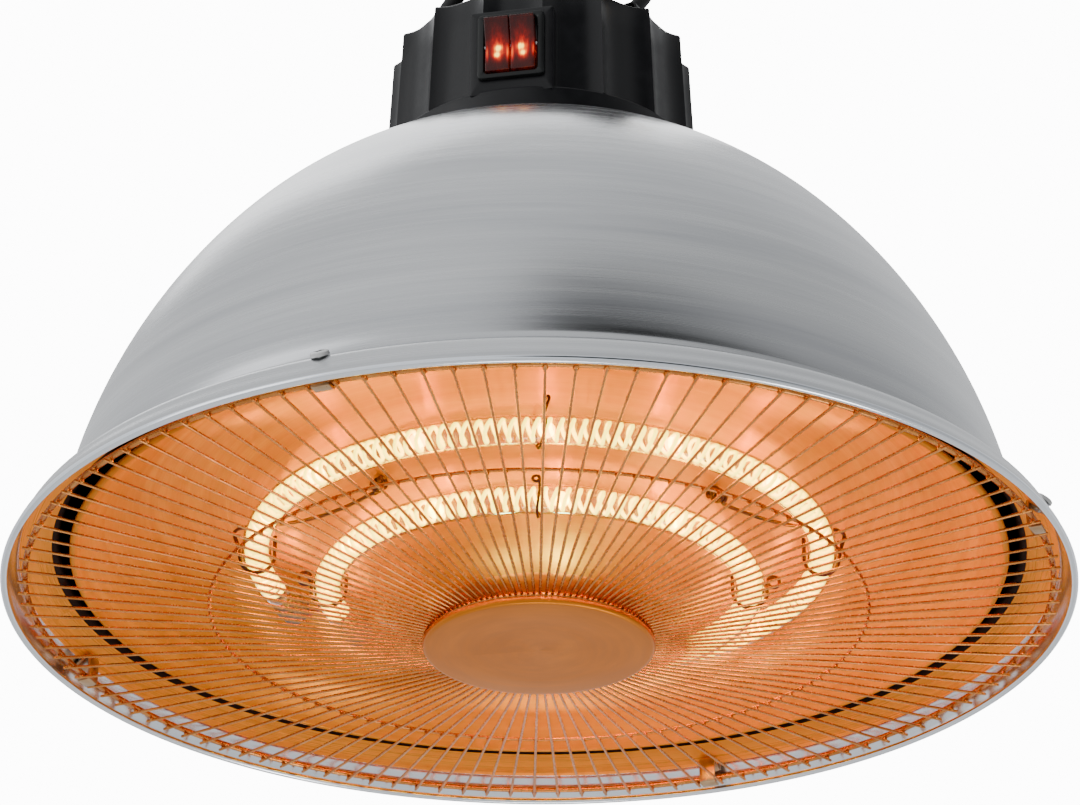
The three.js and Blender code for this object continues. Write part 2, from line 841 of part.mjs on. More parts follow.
const wireRing = (circle, wire, height, steps) =>
  new THREE.TorusGeometry(circle, wire, ringSides, steps).translate(0, 0, height);
add('guard_outer_ring',
  wireRing(outerRingCircle, outerRingWireRadius, outerRingHeight, outerRingSteps), chromeWire);
add('guard_mid_ring',
  wireRing(midRingCircle, midRingWireRadius, midRingHeight, midRingSteps), chromeWire);
add('guard_disc', turned([
  [0, discHeight],
  [discRadius - discEdgeRadius, discHeight],
  [discRadius, discHeight + discEdgeRadius],
  [discRadius, discTop],
  [discRadius - discSheet, discTop],
  [discRadius - discSheet, discHeight + discSheet],
  [0, discHeight + discSheet],
], discSides), chromeWire);

// Guard clips: a bent strip hooked under the outer ring and screwed up to the lip

function strip(line, thickness) {
  const sides = [-thickness / 2, thickness / 2].map((offset) => line.map((place, i) => {
    const before = line[Math.max(i - 1, 0)];
    const after = line[Math.min(i + 1, line.length - 1)];
    const into = new THREE.Vector2(place[0] - before[0], place[1] - before[1]).normalize();
    const out = new THREE.Vector2(after[0] - place[0], after[1] - place[1]).normalize();
    if (i === 0) into.copy(out);
    if (i === line.length - 1) out.copy(into);
    const middle = into.clone().add(out).normalize();
    const reach = offset / middle.dot(out);
    return [place[0] - middle.y * reach, place[1] + middle.x * reach];
  }));
  return [...sides[0], ...sides[1].reverse()];
}

const clipNormal = [Math.sin(clipScrewTilt), Math.cos(clipScrewTilt)];
const clipMiddle = clipNormal.map((way, i) =>
  clipScrewFoot[i] - (shadeWall + clipSetback + clipSheet / 2) * way);
const clipLegCircle = outerRingCircle - outerRingWireRadius - 2 * seatGap - clipSheet / 2;
const clipFootHeight = outerRingHeight - outerRingWireRadius - seatGap - clipSheet / 2;
const clipRise = ((clipMiddle[0] - clipLegCircle) * clipNormal[0]) / clipNormal[1];
const clipLine = [
  [clipMiddle[0] + clipPlateHalf * clipNormal[1], clipMiddle[1] - clipPlateHalf * clipNormal[0]],
  [clipLegCircle, clipMiddle[1] + clipRise],
  [clipLegCircle, clipFootHeight],
  [clipLegCircle + clipFootLength, clipFootHeight],
];
const uprightBasis = new THREE.Matrix4().makeBasis(
  new THREE.Vector3(1, 0, 0), new THREE.Vector3(0, 0, 1), new THREE.Vector3(0, -1, 0),
);
clipAngles.forEach((angle, i) => {
  const blank = slab(strip(clipLine, clipSheet), clipWidth)
    .translate(0, 0, -clipWidth / 2)
    .applyMatrix4(uprightBasis);
  const bored = cut(blank, clipScrewShape(clipScrewRadius + seatGap, -clipScrewLength, 0));
  add(`guard_clip_${i + 1}`, turnedTo(bored, angle), plainSteel);
  const shank = upright(clipScrewRadius, -clipScrewLength, seatGap + clipScrewHeadHeight / 2, screwSides);
  const head = upright(clipScrewHeadRadius, seatGap, seatGap + clipScrewHeadHeight, screwSides);
  const screw = geometryOf(joinAll([shank, head]))
    .rotateY(clipScrewTilt)
    .translate(clipScrewFoot[0], 0, clipScrewFoot[1]);
  add(`guard_screw_${i + 1}`, turnedTo(screw, angle), plainSteel);
});

// Cap: a plain band, flutes with sharp edges, a flat boss for the switch, and a hollow inside

const capFoot = domeHeightAt(capBaseRadius - capWall) + seatGap;

function capRadiusAt(height) {
  const share = (height - capFoot) / (capTopHeight - capFoot);
  return capBaseRadius + share * (capTopRadius - capBaseRadius);
}

function capRing(height, depth, inset) {
  const ring = [];
  for (let i = 0; i < fluteCount * flutePoints; i += 1) {
    const share = (i % flutePoints) / flutePoints;
    const hollow = depth * (1 - Math.abs(2 * share - 1) ** 3);
    const angle = -90 * DEG + ((i / flutePoints + 0.5) / fluteCount) * 2 * Math.PI;
    ring.push(polar(capRadiusAt(height) - inset - hollow, angle, height));
  }
  return ring;
}

function stacked(rings) {
  const count = rings[0].length;
  const places = rings.flat();
  const low = places.length;
  places.push(new THREE.Vector3(0, 0, rings[0][0].z));
  places.push(new THREE.Vector3(0, 0, rings[rings.length - 1][0].z));
  const index = [];
  for (let i = 0; i < count; i += 1) {
    const j = (i + 1) % count;
    index.push(low, j, i);
    for (let k = 0; k + 1 < rings.length; k += 1) {
      const [a, b] = [k * count + i, k * count + j];
      index.push(a, b, b + count, a, b + count, a + count);
    }
    const top = (rings.length - 1) * count;
    index.push(low + 1, top + i, top + j);
  }
  const geometry = new THREE.BufferGeometry().setFromPoints(places);
  geometry.setIndex(index);
  return geometry;
}

function boxBetween(low, high) {
  const size = high.map((value, i) => value - low[i]);
  const middle = high.map((value, i) => (value + low[i]) / 2);
  return new THREE.BoxGeometry(...size).translate(...middle);
}

const capOuter = stacked([
  capRing(capFoot, 0, 0),
  capRing(capBandHeight, 0, 0),
  capRing(capBandHeight + seatGap, fluteDepth, 0),
  capRing(capTopHeight - capChamfer, fluteDepth, 0),
  capRing(capTopHeight, fluteDepth, capChamfer),
]);
const capCavityTop = capTopHeight - capTopWall;
const capSides = fluteCount * 2;
const boss = boxBetween(
  [-bossWidth / 2, -bossFace, capBandHeight - capChamfer],
  [bossWidth / 2, -capCavityRadius, bossTopHeight],
);
const windowHalf = [switchBodyWidth / 2 + seatGap, switchBodyTall / 2 + seatGap];
const cordPlace = (point) => new THREE.Vector3(point[0], point[1], capTopHeight + (point[2] ?? 0))
  .applyAxisAngle(new THREE.Vector3(0, 0, 1), cordTurn);
const glandFoot = cordPlace(glandPlace);
add('top_cap', cut(
  geometryOf(joinAll([capOuter, boss])),
  upright(capCavityRadius, capFoot - cutOverrun, capCavityTop, capSides),
  upright(capBaseRadius - capWall, capFoot - cutOverrun, capBandHeight - capWall, capSides),
  boxBetween(
    [-windowHalf[0], -bossFace - cutOverrun, switchHeight - windowHalf[1]],
    [windowHalf[0], bossWidth / 2 - capCavityRadius, switchHeight + windowHalf[1]],
  ),
  upright(rodHoleRadius, capCavityTop - cutOverrun, capTopHeight + cutOverrun, screwSides),
  upright(glandThreadRadius + seatGap, capCavityTop - cutOverrun, capTopHeight + cutOverrun, screwSides)
    .rotateZ(cordTurn)
    .translate(glandFoot.x, glandFoot.y, 0),
), blackPlastic);

// Switch: a housing pushed into the boss, two rockers on one pin, a neon lamp under each

const bezelFace = bossFace + seatGap + bezelProud;
const pivotDepth = bezelFace - rockerPivotDepth;
const cavityFloor = bezelFace - rockerCavityDepth;
const alongPin = (radius, length) => new THREE.CylinderGeometry(radius, radius, length, screwSides)
  .rotateZ(90 * DEG)
  .translate(0, -pivotDepth, switchHeight);
add('switch_housing', cut(
  geometryOf(joinAll([
    boxBetween(
      [-bezelWidth / 2, -bezelFace, switchHeight - bezelTall / 2],
      [bezelWidth / 2, -bossFace - seatGap, switchHeight + bezelTall / 2],
    ),
    boxBetween(
      [-switchBodyWidth / 2, -bezelFace + bezelProud / 2, switchHeight - switchBodyTall / 2],
      [switchBodyWidth / 2, -bezelFace + bezelProud + switchBodyDepth, switchHeight + switchBodyTall / 2],
    ),
  ])),
  boxBetween(
    [-rockerWindowWidth / 2, -bezelFace - cutOverrun, switchHeight - rockerWindowTall / 2],
    [rockerWindowWidth / 2, -cavityFloor, switchHeight + rockerWindowTall / 2],
  ),
  alongPin(pivotPinRadius + seatGap, switchBodyWidth - seatGap * 2),
), blackPlastic);
add('rocker_pin', alongPin(pivotPinRadius, switchBodyWidth - seatGap * 4), plainSteel);

const rockerWidth = (rockerWindowWidth - 3 * rockerGap) / 2;
const rockerTip = rockerFaceAbovePivot + rockerHalfTall * Math.tan(rockerTilt);
const rockerHalf = [
  [rockerFootHalf, -rockerFootDepth],
  [rockerWaist, -rockerWaistDepth],
  [rockerHalfTall, rockerEdgeRise],
  [rockerHalfTall, rockerTip],
];
const rockerOutline = [
  ...rockerHalf,
  [0, rockerFaceAbovePivot],
  ...rockerHalf.map(([tall, out]) => [-tall, out]).reverse(),
].map(([tall, out]) => [
  tall * Math.cos(rockerTilt) - out * Math.sin(rockerTilt),
  tall * Math.sin(rockerTilt) + out * Math.cos(rockerTilt),
]);
const rockerBasis = new THREE.Matrix4().makeBasis(
  new THREE.Vector3(0, 0, 1), new THREE.Vector3(0, -1, 0), new THREE.Vector3(1, 0, 0),
);
const rockerPlaces = [
  ['left', -(rockerWidth + rockerGap) / 2],
  ['right', (rockerWidth + rockerGap) / 2],
];
for (const [side, across] of rockerPlaces) {
  const blank = slab(rockerOutline, rockerWidth)
    .translate(0, 0, -rockerWidth / 2)
    .applyMatrix4(rockerBasis)
    .translate(across, -pivotDepth, switchHeight);
  add(`rocker_${side}`, cut(blank, alongPin(pivotPinRadius + seatGap, switchBodyWidth)), redRocker);
  const neon = upright(neonRadius, -neonLength / 2, neonLength / 2, screwSides)
    .translate(across, -cavityFloor - seatGap - neonRadius, switchHeight - neonDrop);
  add(`neon_${side}`, neon, neonGlass);
}

// Suspension: one rod from the eye down through cap and shade to the reflector's hub

const eye = new THREE.TorusGeometry(eyeRadius, eyeWireRadius, ringWireSides, eyeSteps)
  .rotateX(90 * DEG)
  .translate(0, 0, eyeCentreHeight);
const hubNutTop = hubHeight - seatGap;
const collarTop = rodCollarFoot + rodCollarHeight;
add('eye_bolt', geometryOf(joinAll([
  eye,
  upright(rodCollarRadius, rodCollarFoot, collarTop, roundSides),
  upright(rodRadius, hubNutTop - nutHeight - rodFootLength, collarTop + eyeNeck, screwSides),
])), plainSteel);

const bored = (radius, hole, low, high, sides) => cut(
  upright(radius, low, high, sides),
  upright(hole, low - cutOverrun, high + cutOverrun, screwSides),
);
const washerFoot = capTopHeight + seatGap;
const shadeNutTop = domeCentreHeight - seatGap
  + (domeRadius - shadeWall) * Math.cos((90 * DEG) / domeSteps);
add('rod_washer',
  bored(washerRadius, rodHoleRadius, washerFoot, washerFoot + washerSheet, roundSides), plainSteel);
add('rod_nut_hub',
  bored(nutRadius, rodHoleRadius, hubNutTop - nutHeight, hubNutTop, nutSides), plainSteel);
add('rod_nut_shade',
  bored(nutRadius, rodHoleRadius, shadeNutTop - nutHeight, shadeNutTop, nutSides), plainSteel);
add('stiffener_plate', cut(
  upright(stiffenerRadius, stiffenerHeight, stiffenerHeight + stiffenerSheet, roundSides),
  upright(rodHoleRadius, stiffenerHeight - cutOverrun, stiffenerHeight + cutOverrun, screwSides),
  ...leadHoles(stiffenerHeight - cutOverrun, stiffenerHeight + 2 * cutOverrun),
), plainSteel);

// Hanging ring: an oval of wire through the eye, free to swing

class Oval extends THREE.Curve {
  getPoint(share, target = new THREE.Vector3()) {
    const arc = Math.PI * hangingRingRadius;
    const half = arc + hangingRingStraight;
    const run = ((share % 1) * 2 * half);
    const side = run < half ? 1 : -1;
    const within = run < half ? run : run - half;
    if (within < arc) {
      const angle = within / hangingRingRadius;
      return target.set(0, side * hangingRingRadius * Math.cos(angle),
        side * (hangingRingStraight / 2 + hangingRingRadius * Math.sin(angle)));
    }
    return target.set(0, -side * hangingRingRadius, side * (hangingRingStraight / 2 - (within - arc)));
  }
}

function closedTube(curve, radius, sides, steps) {
  const frames = curve.computeFrenetFrames(steps, true);
  const rings = [];
  for (let i = 0; i < steps; i += 1) {
    const centre = curve.getPointAt(i / steps);
    for (let k = 0; k < sides; k += 1) {
      const angle = (k / sides) * 2 * Math.PI;
      rings.push(centre.clone()
        .addScaledVector(frames.normals[i], radius * Math.cos(angle))
        .addScaledVector(frames.binormals[i], radius * Math.sin(angle)));
    }
  }
  const index = [];
  for (let i = 0; i < steps; i += 1) {
    const j = (i + 1) % steps;
    for (let k = 0; k < sides; k += 1) {
      const m = (k + 1) % sides;
      index.push(i * sides + k, j * sides + k, j * sides + m);
      index.push(i * sides + k, j * sides + m, i * sides + m);
    }
  }
  const geometry = new THREE.BufferGeometry().setFromPoints(rings);
  geometry.setIndex(index);
  return geometry;
}

add('hanging_ring', closedTube(new Oval(), hangingRingWireRadius, ringWireSides, hangingRingSteps)
  .translate(0, 0, (ringTopCentre + ringFootCentre) / 2), plainSteel);

// Cord gland: flange on the cap, elbow, leaning cone, and the nut inside

const glandLow = glandFlangeHeight + glandElbowRise + seatGap;
const glandTurned = (geometry) =>
  geometry.rotateZ(cordTurn).translate(glandFoot.x, glandFoot.y, capTopHeight);
const leanOut = (geometry) => geometry.rotateY(glandLean).translate(0, 0, glandLow);
const taper = (low, high, length) =>
  new THREE.CylinderGeometry(high, low, length, screwSides).rotateX(90 * DEG).translate(0, 0, length / 2);
const ball = (radius) => new THREE.SphereGeometry(radius, screwSides, screwSides / 2)
  .rotateX(90 * DEG).translate(0, 0, glandLow);
const glandBody = joinAll([
  upright(glandThreadRadius, -glandThreadLength, seatGap + glandFlangeHeight / 2, screwSides),
  upright(glandFlangeRadius, seatGap, seatGap + glandFlangeHeight, plugSides / 2),
  upright(glandConeRadius, seatGap + glandFlangeHeight / 2, glandLow, screwSides),
  ball(glandConeRadius),
  leanOut(taper(glandConeRadius, glandTipRadius, glandConeLength)),
]);
const glandBore = joinAll([
  upright(glandBoreRadius, -glandThreadLength - cutOverrun, glandLow, screwSides),
  ball(glandBoreRadius),
  leanOut(taper(glandBoreRadius, glandBoreRadius, glandConeLength + cutOverrun)),
]);
add('cord_gland', glandTurned(geometryOf(glandBody.subtract(glandBore))), blackPlastic);
const glandNutTop = -capTopWall - seatGap;
add('gland_nut', glandTurned(bored(
  glandNutRadius, glandThreadRadius + seatGap, glandNutTop - glandNutHeight, glandNutTop, nutSides,
)), blackPlastic);

// Cord: out of the gland, up in an arch, down to the coil, round the coil, and on to the plug

const coilHeights = [0, coilTurnPitch].map((rise) => 2 * seatGap + tieSheet + cordRadius + rise);
const coilInnerCircle = coilOuterCircle - coilTurnsBelow * coilTurnPitch;
const coilClimbEnd = coilTurnsBelow + coilClimbTurns;
const coilTurns = coilClimbEnd + coilTurnsAbove;

function coilPlace(turns) {
  const angle = coilStartAngle + turns * 2 * Math.PI;
  const climb = Math.min(1, Math.max(0, (turns - coilTurnsBelow) / coilClimbTurns));
  let circle = coilInnerCircle - coilClimbDip * Math.sin(climb * Math.PI) ** 2;
  if (climb === 0) circle = coilOuterCircle - turns * coilTurnPitch;
  if (climb === 1) circle = coilInnerCircle + (turns - coilClimbEnd) * coilTurnPitch;
  const eased = climb * climb * (3 - 2 * climb);
  const height = coilHeights[0] + eased * (coilHeights[1] - coilHeights[0]);
  return [circle * Math.cos(angle), circle * Math.sin(angle), height];
}

const coilKnots = [];
const coilKnotCount = Math.round(coilTurns * coilSteps);
for (let i = 0; i <= coilKnotCount; i += 1) {
  coilKnots.push(cordPlace(coilPlace((i / coilKnotCount) * coilTurns)));
}
const beyond = (from, to, run) => to.clone().addScaledVector(to.clone().sub(from).normalize(), run);
const nearStart = cordPlace(coilPlace(coilEndShare));
const nearEnd = cordPlace(coilPlace(coilTurns - coilEndShare));
const coilStart = beyond(nearStart, coilKnots[0], 2 * cordRadius);
const coilEnd = beyond(nearEnd, coilKnots[coilKnotCount], 2 * cordRadius);
leastGap('cord_coil', coilKnots, cordRadius);

const glandTop = new THREE.Vector3(0, 0, glandLow + capTopHeight).add(glandFoot.clone().setZ(0));
const glandWay = new THREE.Vector3(Math.sin(glandLean), 0, Math.cos(glandLean))
  .applyAxisAngle(new THREE.Vector3(0, 0, 1), cordTurn);
const cordStart = glandTop.clone().addScaledVector(glandWay, glandConeLength + seatGap);
const curveThrough = (places) => new THREE.CatmullRomCurve3(places, false, 'centripetal');
const cordRun = curveThrough([
  cordStart,
  ...cordWayPoints.map(cordPlace),
  beyond(coilKnots[0], coilStart, seatGap + cordRadius),
  beyond(coilKnots[0], coilStart, seatGap),
]);
add('cord', along(cordRun, cordRadius, cordSides, cordSteps), rubber);
const coilAll = [coilStart, ...coilKnots, coilEnd];
add('cord_coil', throughKnots(coilAll, cordRadius, coilSides), rubber);
const plugFoot = cordPlace(plugCentre);
const plugRun = curveThrough([
  beyond(coilKnots[coilKnotCount], coilEnd, seatGap),
  beyond(coilKnots[coilKnotCount], coilEnd, seatGap + cordRadius),
  ...plugLeadPoints.map(cordPlace),
  plugFoot,
]);
add('plug_lead', along(plugRun, cordRadius, cordSides, plugLeadSteps), rubber);
const coilLength = coilAll.slice(1).reduce((sum, place, i) => sum + place.distanceTo(coilAll[i]), 0);
const cordLength = cordRun.getLength() + coilLength + plugRun.getLength();
console.log(`cord: ${(cordLength / 10).toFixed(0)} cm in all`);

const tieFoot = capTopHeight + seatGap;
const tieTop = capTopHeight + coilHeights[1] + cordRadius + seatGap + tieSheet;
const tieOutside = boxBetween(
  [tieInnerCircle - tieSheet, -tieWidth / 2, tieFoot],
  [tieOuterCircle + tieSheet, tieWidth / 2, tieTop],
);
const tieInside = boxBetween(
  [tieInnerCircle, -tieWidth, tieFoot + tieSheet],
  [tieOuterCircle, tieWidth, tieTop - tieSheet],
);
add('coil_tie', turnedTo(cut(tieOutside, tieInside), tieAngle + cordTurn), rubber);

// Plug: a turned body with a narrow tail, a grip and a wide face, and two pins

const plugLengths = [plugTailLength, plugGripLength, plugFaceLength];
const plugStart = 2 * seatGap;
const plugEnd = plugStart + plugLengths.reduce((sum, length) => sum + length, 0);
const plugTurned = (geometry) => geometry.rotateY(90 * DEG).rotateZ(cordTurn)
  .translate(plugFoot.x, plugFoot.y, plugFoot.z);
const plugBody = turned([
  [0, plugStart],
  [plugTailRadius, plugStart],
  [plugTailRadius, plugStart + plugTailLength],
  [plugGripRadius, plugStart + plugTailLength + plugEdgeRound],
  [plugGripRadius, plugStart + plugTailLength + plugGripLength],
  [plugFaceRadius, plugEnd - plugFaceLength + plugEdgeRound],
  [plugFaceRadius, plugEnd - plugEdgeRound],
  [plugFaceRadius - plugEdgeRound, plugEnd],
  [0, plugEnd],
], plugSides);
add('plug_body', plugTurned(plugBody), rubber);
[-1, 1].forEach((side, i) => {
  const pin = upright(plugPinRadius, plugEnd + seatGap, plugEnd + seatGap + plugPinLength, screwSides)
    .translate(side * (plugPinSpacing / 2), 0, 0);
  add(`plug_pin_${i + 1}`, plugTurned(pin), brass);
});

export default whole;
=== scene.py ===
# Visual model of a hanging patio heater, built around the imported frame.
# Numbers in the lists are millimetres, with heights measured from the plane of the shade's rim.
import math
import random

import bpy
from mathutils import Matrix, Vector


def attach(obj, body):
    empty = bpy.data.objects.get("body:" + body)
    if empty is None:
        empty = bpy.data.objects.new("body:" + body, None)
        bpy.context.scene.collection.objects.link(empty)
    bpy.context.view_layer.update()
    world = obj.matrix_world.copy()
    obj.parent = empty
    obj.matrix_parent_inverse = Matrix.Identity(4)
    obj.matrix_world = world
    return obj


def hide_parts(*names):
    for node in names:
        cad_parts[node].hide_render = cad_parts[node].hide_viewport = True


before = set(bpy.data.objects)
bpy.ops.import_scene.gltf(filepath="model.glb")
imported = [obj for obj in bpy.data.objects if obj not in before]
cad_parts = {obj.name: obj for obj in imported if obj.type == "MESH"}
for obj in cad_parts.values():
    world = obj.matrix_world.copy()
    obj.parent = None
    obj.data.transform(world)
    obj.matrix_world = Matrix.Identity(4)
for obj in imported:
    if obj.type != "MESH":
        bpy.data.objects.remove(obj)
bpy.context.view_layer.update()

MM = 0.001
TAU = 2 * math.pi
rad = math.radians

# The frame's origin over the rim's plane, the turns of cap and camera and of clips and spokes,
# and the height of the cap's upper face

HANG = 320.4
TURN = rad(11)
CLIP_TURN = rad(-11)
CAP_TOP = 257.0


def at(x, y, z):
    """A place in the frame, in metres, for millimetres with the height over the rim's plane."""
    return Vector((x * MM, y * MM, (z - HANG) * MM))


def polar(radius, angle, z):
    return Vector((radius * math.cos(angle), radius * math.sin(angle), z))


def over_cap(point):
    """A place measured from the middle of the cap's upper face, turned with the cap."""
    turned = Matrix.Rotation(TURN, 3, "Z") @ Vector(point)
    return turned + Vector((0, 0, CAP_TOP))


# Camera at the photograph's place: a long lens, low and in front, looking up

scene = bpy.context.scene
camera_data = bpy.data.cameras.new("camera")
camera_data.sensor_fit = "HORIZONTAL"
camera_data.sensor_width = 36
camera_data.lens = 117.13
camera_data.clip_start = 0.05
camera_data.clip_end = 50
camera = bpy.data.objects.new("camera", camera_data)
scene.collection.objects.link(camera)
CAMERA_AWAY, CAMERA_Z, CAMERA_PITCH, CAMERA_ROLL = 1277, -572, rad(117.5), rad(0.25)
camera.location = at(*polar(CAMERA_AWAY, TURN - rad(90), CAMERA_Z))
camera.rotation_euler = (Matrix.Rotation(TURN, 3, "Z") @ Matrix.Rotation(CAMERA_PITCH, 3, "X")
                         @ Matrix.Rotation(CAMERA_ROLL, 3, "Z")).to_euler()
scene.camera = camera


# Geometry helpers

def knot_tangents(points):
    """Tangents of a centripetal curve through the points, with the time of each span."""
    spans = [max((b - a).length ** 0.5, 1e-6) for a, b in zip(points, points[1:])]
    tangents = [(points[1] - points[0]) / spans[0]]
    for i in range(1, len(spans)):
        before, after = spans[i - 1], spans[i]
        p, q, r = points[i - 1:i + 2]
        tangents.append((q - p) / before - (r - p) / (before + after) + (r - q) / after)
    tangents.append((points[-1] - points[-2]) / spans[-1])
    return tangents, spans


def smooth_line(points, steps):
    """The curve through the points, with that many steps from each point to the next."""
    points = [Vector(p) for p in points]
    tangents, spans = knot_tangents(points)
    out = []
    for i, span in enumerate(spans):
        p, q = points[i], points[i + 1]
        a, b = tangents[i] * span, tangents[i + 1] * span
        for k in range(steps):
            t = k / steps
            out.append(p * (2 * t**3 - 3 * t**2 + 1) + a * (t**3 - 2 * t**2 + t)
                       + q * (3 * t**2 - 2 * t**3) + b * (t**3 - t**2))
    out.append(points[-1])
    return out


def new_object(name, verts, faces):
    mesh = bpy.data.meshes.new(name)
    mesh.from_pydata([tuple(v) for v in verts], [], faces)
    mesh.validate()
    mesh.update()
    obj = bpy.data.objects.new(name, mesh)
    scene.collection.objects.link(obj)
    return obj


class Shape:
    """Gathers pieces of one mesh in millimetres, with a material number for each face."""

    def __init__(self):
        self.verts, self.faces, self.kinds = [], [], []

    def merge(self, other, matrix=None, kind=None):
        base = len(self.verts)
        self.verts += [matrix @ v if matrix is not None else v for v in other.verts]
        self.faces += [[base + i for i in f] for f in other.faces]
        self.kinds += [k if kind is None else kind for k in other.kinds]
        return self

    def moved(self, matrix):
        return Shape().merge(self, matrix)

    def make(self, name, materials, slot, node, body="heater", smooth=35, bevel=None):
        """Stands the shape as one piece: on its body, in its node's place. The slot argument is not
        used.
        """
        obj = new_object(name, [at(*v) for v in self.verts], self.faces)
        mesh = obj.data
        for material in materials:
            mesh.materials.append(material)
        if len(mesh.polygons) == len(self.kinds):
            mesh.polygons.foreach_set("material_index", self.kinds)
        if bevel:
            width, segments, angle = bevel
            m = obj.modifiers.new("edges", "BEVEL")
            m.width, m.segments = width * MM, segments
            m.limit_method, m.angle_limit = "ANGLE", rad(angle)
            m.harden_normals = False
            dg = bpy.context.evaluated_depsgraph_get()
            done = bpy.data.meshes.new_from_object(obj.evaluated_get(dg))
            obj.modifiers.clear()
            obj.data = done
            mesh = done
        mesh.polygons.foreach_set("use_smooth", [True] * len(mesh.polygons))
        mesh.set_sharp_from_angle(angle=rad(smooth))
        mesh.update()
        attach(obj, body)
        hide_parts(node)
        return obj


def lathe(profile, sides, turn=0.0, closed=True, kinds=None):
    """A closed profile of (radius, height) turned about Z. Points on the axis become one vertex."""
    shape = Shape()
    rings = []
    for r, z in profile:
        if r < 1e-6:
            rings.append([len(shape.verts)] * sides)
            shape.verts.append(Vector((0, 0, z)))
            continue
        rings.append(list(range(len(shape.verts), len(shape.verts) + sides)))
        for i in range(sides):
            shape.verts.append(polar(r, turn + i * TAU / sides, z))
    spans = len(profile) if closed else len(profile) - 1
    for k in range(spans):
        a, b = rings[k], rings[(k + 1) % len(profile)]
        kind = kinds[k] if kinds else 0
        for i in range(sides):
            j = (i + 1) % sides
            quad = [a[i], a[j], b[j], b[i]]
            face = [v for n, v in enumerate(quad) if v not in quad[:n]]
            if len(face) > 2:
                shape.faces.append(face)
                shape.kinds.append(kind)
    return shape


def frames_along(points, closed):
    """Two directions across the line at each point, turned as little as possible along it."""
    count = len(points)
    ways = []
    for i in range(count):
        before = points[i - 1] if i or closed else points[i]
        after = points[(i + 1) % count] if i + 1 < count or closed else points[i]
        ways.append((after - before).normalized())
    side = ways[0].orthogonal().normalized()
    out = []
    for way in ways:
        side = (side - way * side.dot(way)).normalized()
        out.append((side.copy(), way.cross(side)))
    return out


def ball(radius, rings, sides):
    angles = [-math.pi / 2 + i * math.pi / rings for i in range(1, rings)]
    around = [(radius * math.cos(a), radius * math.sin(a)) for a in angles]
    return lathe([(0, -radius), *around, (0, radius)], sides, closed=False)


def block(low, high):
    """A box between two opposite corners."""
    (a, b, c), (d, e, f) = low, high
    return loft([[(a, b, z), (d, b, z), (d, e, z), (a, e, z)] for z in (c, f)],
                closed=False, cap_ends=True)


def rounded_loop(width, tall, corner, steps=5):
    """Points of a rectangle with round corners, centred, anticlockwise."""
    out = []
    for cx, cy, start in ((1, 1, 0), (-1, 1, 90), (-1, -1, 180), (1, -1, 270)):
        for i in range(steps + 1):
            a = rad(start + 90 * i / steps)
            out.append((cx * (width / 2 - corner) + corner * math.cos(a),
                        cy * (tall / 2 - corner) + corner * math.sin(a)))
    return out


def loft(loops, closed=True, cap_ends=False):
    """Joins loops of the same count of points. closed joins the last loop to the first."""
    shape = Shape()
    count = len(loops[0])
    for loop in loops:
        shape.verts += [Vector(p) for p in loop]
    spans = len(loops) if closed else len(loops) - 1
    for k in range(spans):
        m = (k + 1) % len(loops)
        for i in range(count):
            j = (i + 1) % count
            shape.faces.append([k * count + i, k * count + j, m * count + j, m * count + i])
    if cap_ends:
        shape.faces.append(list(range(count))[::-1])
        shape.faces.append([(len(loops) - 1) * count + i for i in range(count)])
    shape.kinds = [0] * len(shape.faces)
    return shape


def tube(points, radius, sides, closed=False):
    """A round bar along points. radius may be one number or one for each point."""
    points = [Vector(p) for p in points]
    radii = radius if isinstance(radius, list) else [radius] * len(points)
    turns = [k * TAU / sides for k in range(sides)]
    loops = [[p + u * (r * math.cos(a)) + v * (r * math.sin(a)) for a in turns]
             for p, r, (u, v) in zip(points, radii, frames_along(points, closed))]
    return loft(loops, closed, not closed)


def beside(line, distance):
    """A line of (radius, height) at a distance to the left of another."""
    line = [Vector(p) for p in line]
    out = []
    for i, p in enumerate(line):
        way = (line[min(i + 1, len(line) - 1)] - line[max(i - 1, 0)]).normalized()
        out.append(p + Vector((-way.y, way.x)) * distance)
    return out


def spin(angle):
    return Matrix.Rotation(angle, 4, "Z")


def shift(x, y, z):
    return Matrix.Translation(Vector((x, y, z)))


# Materials

class Nodes:
    """A node tree with short ways to add nodes and sums."""

    def __init__(self, owner):
        owner.use_nodes = True
        self.nodes, self.links = owner.node_tree.nodes, owner.node_tree.links

    def node(self, kind, **values):
        n = self.nodes.new(kind)
        for key, value in values.items():
            if key in n.inputs:
                n.inputs[key].default_value = value
            else:
                setattr(n, key, value)
        return n

    def link(self, a, b):
        self.links.new(a, b)

    def calc(self, operation, *values):
        n = self.node("ShaderNodeMath", operation=operation)
        for value, socket in zip(values, n.inputs):
            if isinstance(value, (int, float)):
                socket.default_value = value
            else:
                self.link(value, socket)
        return n.outputs[0]


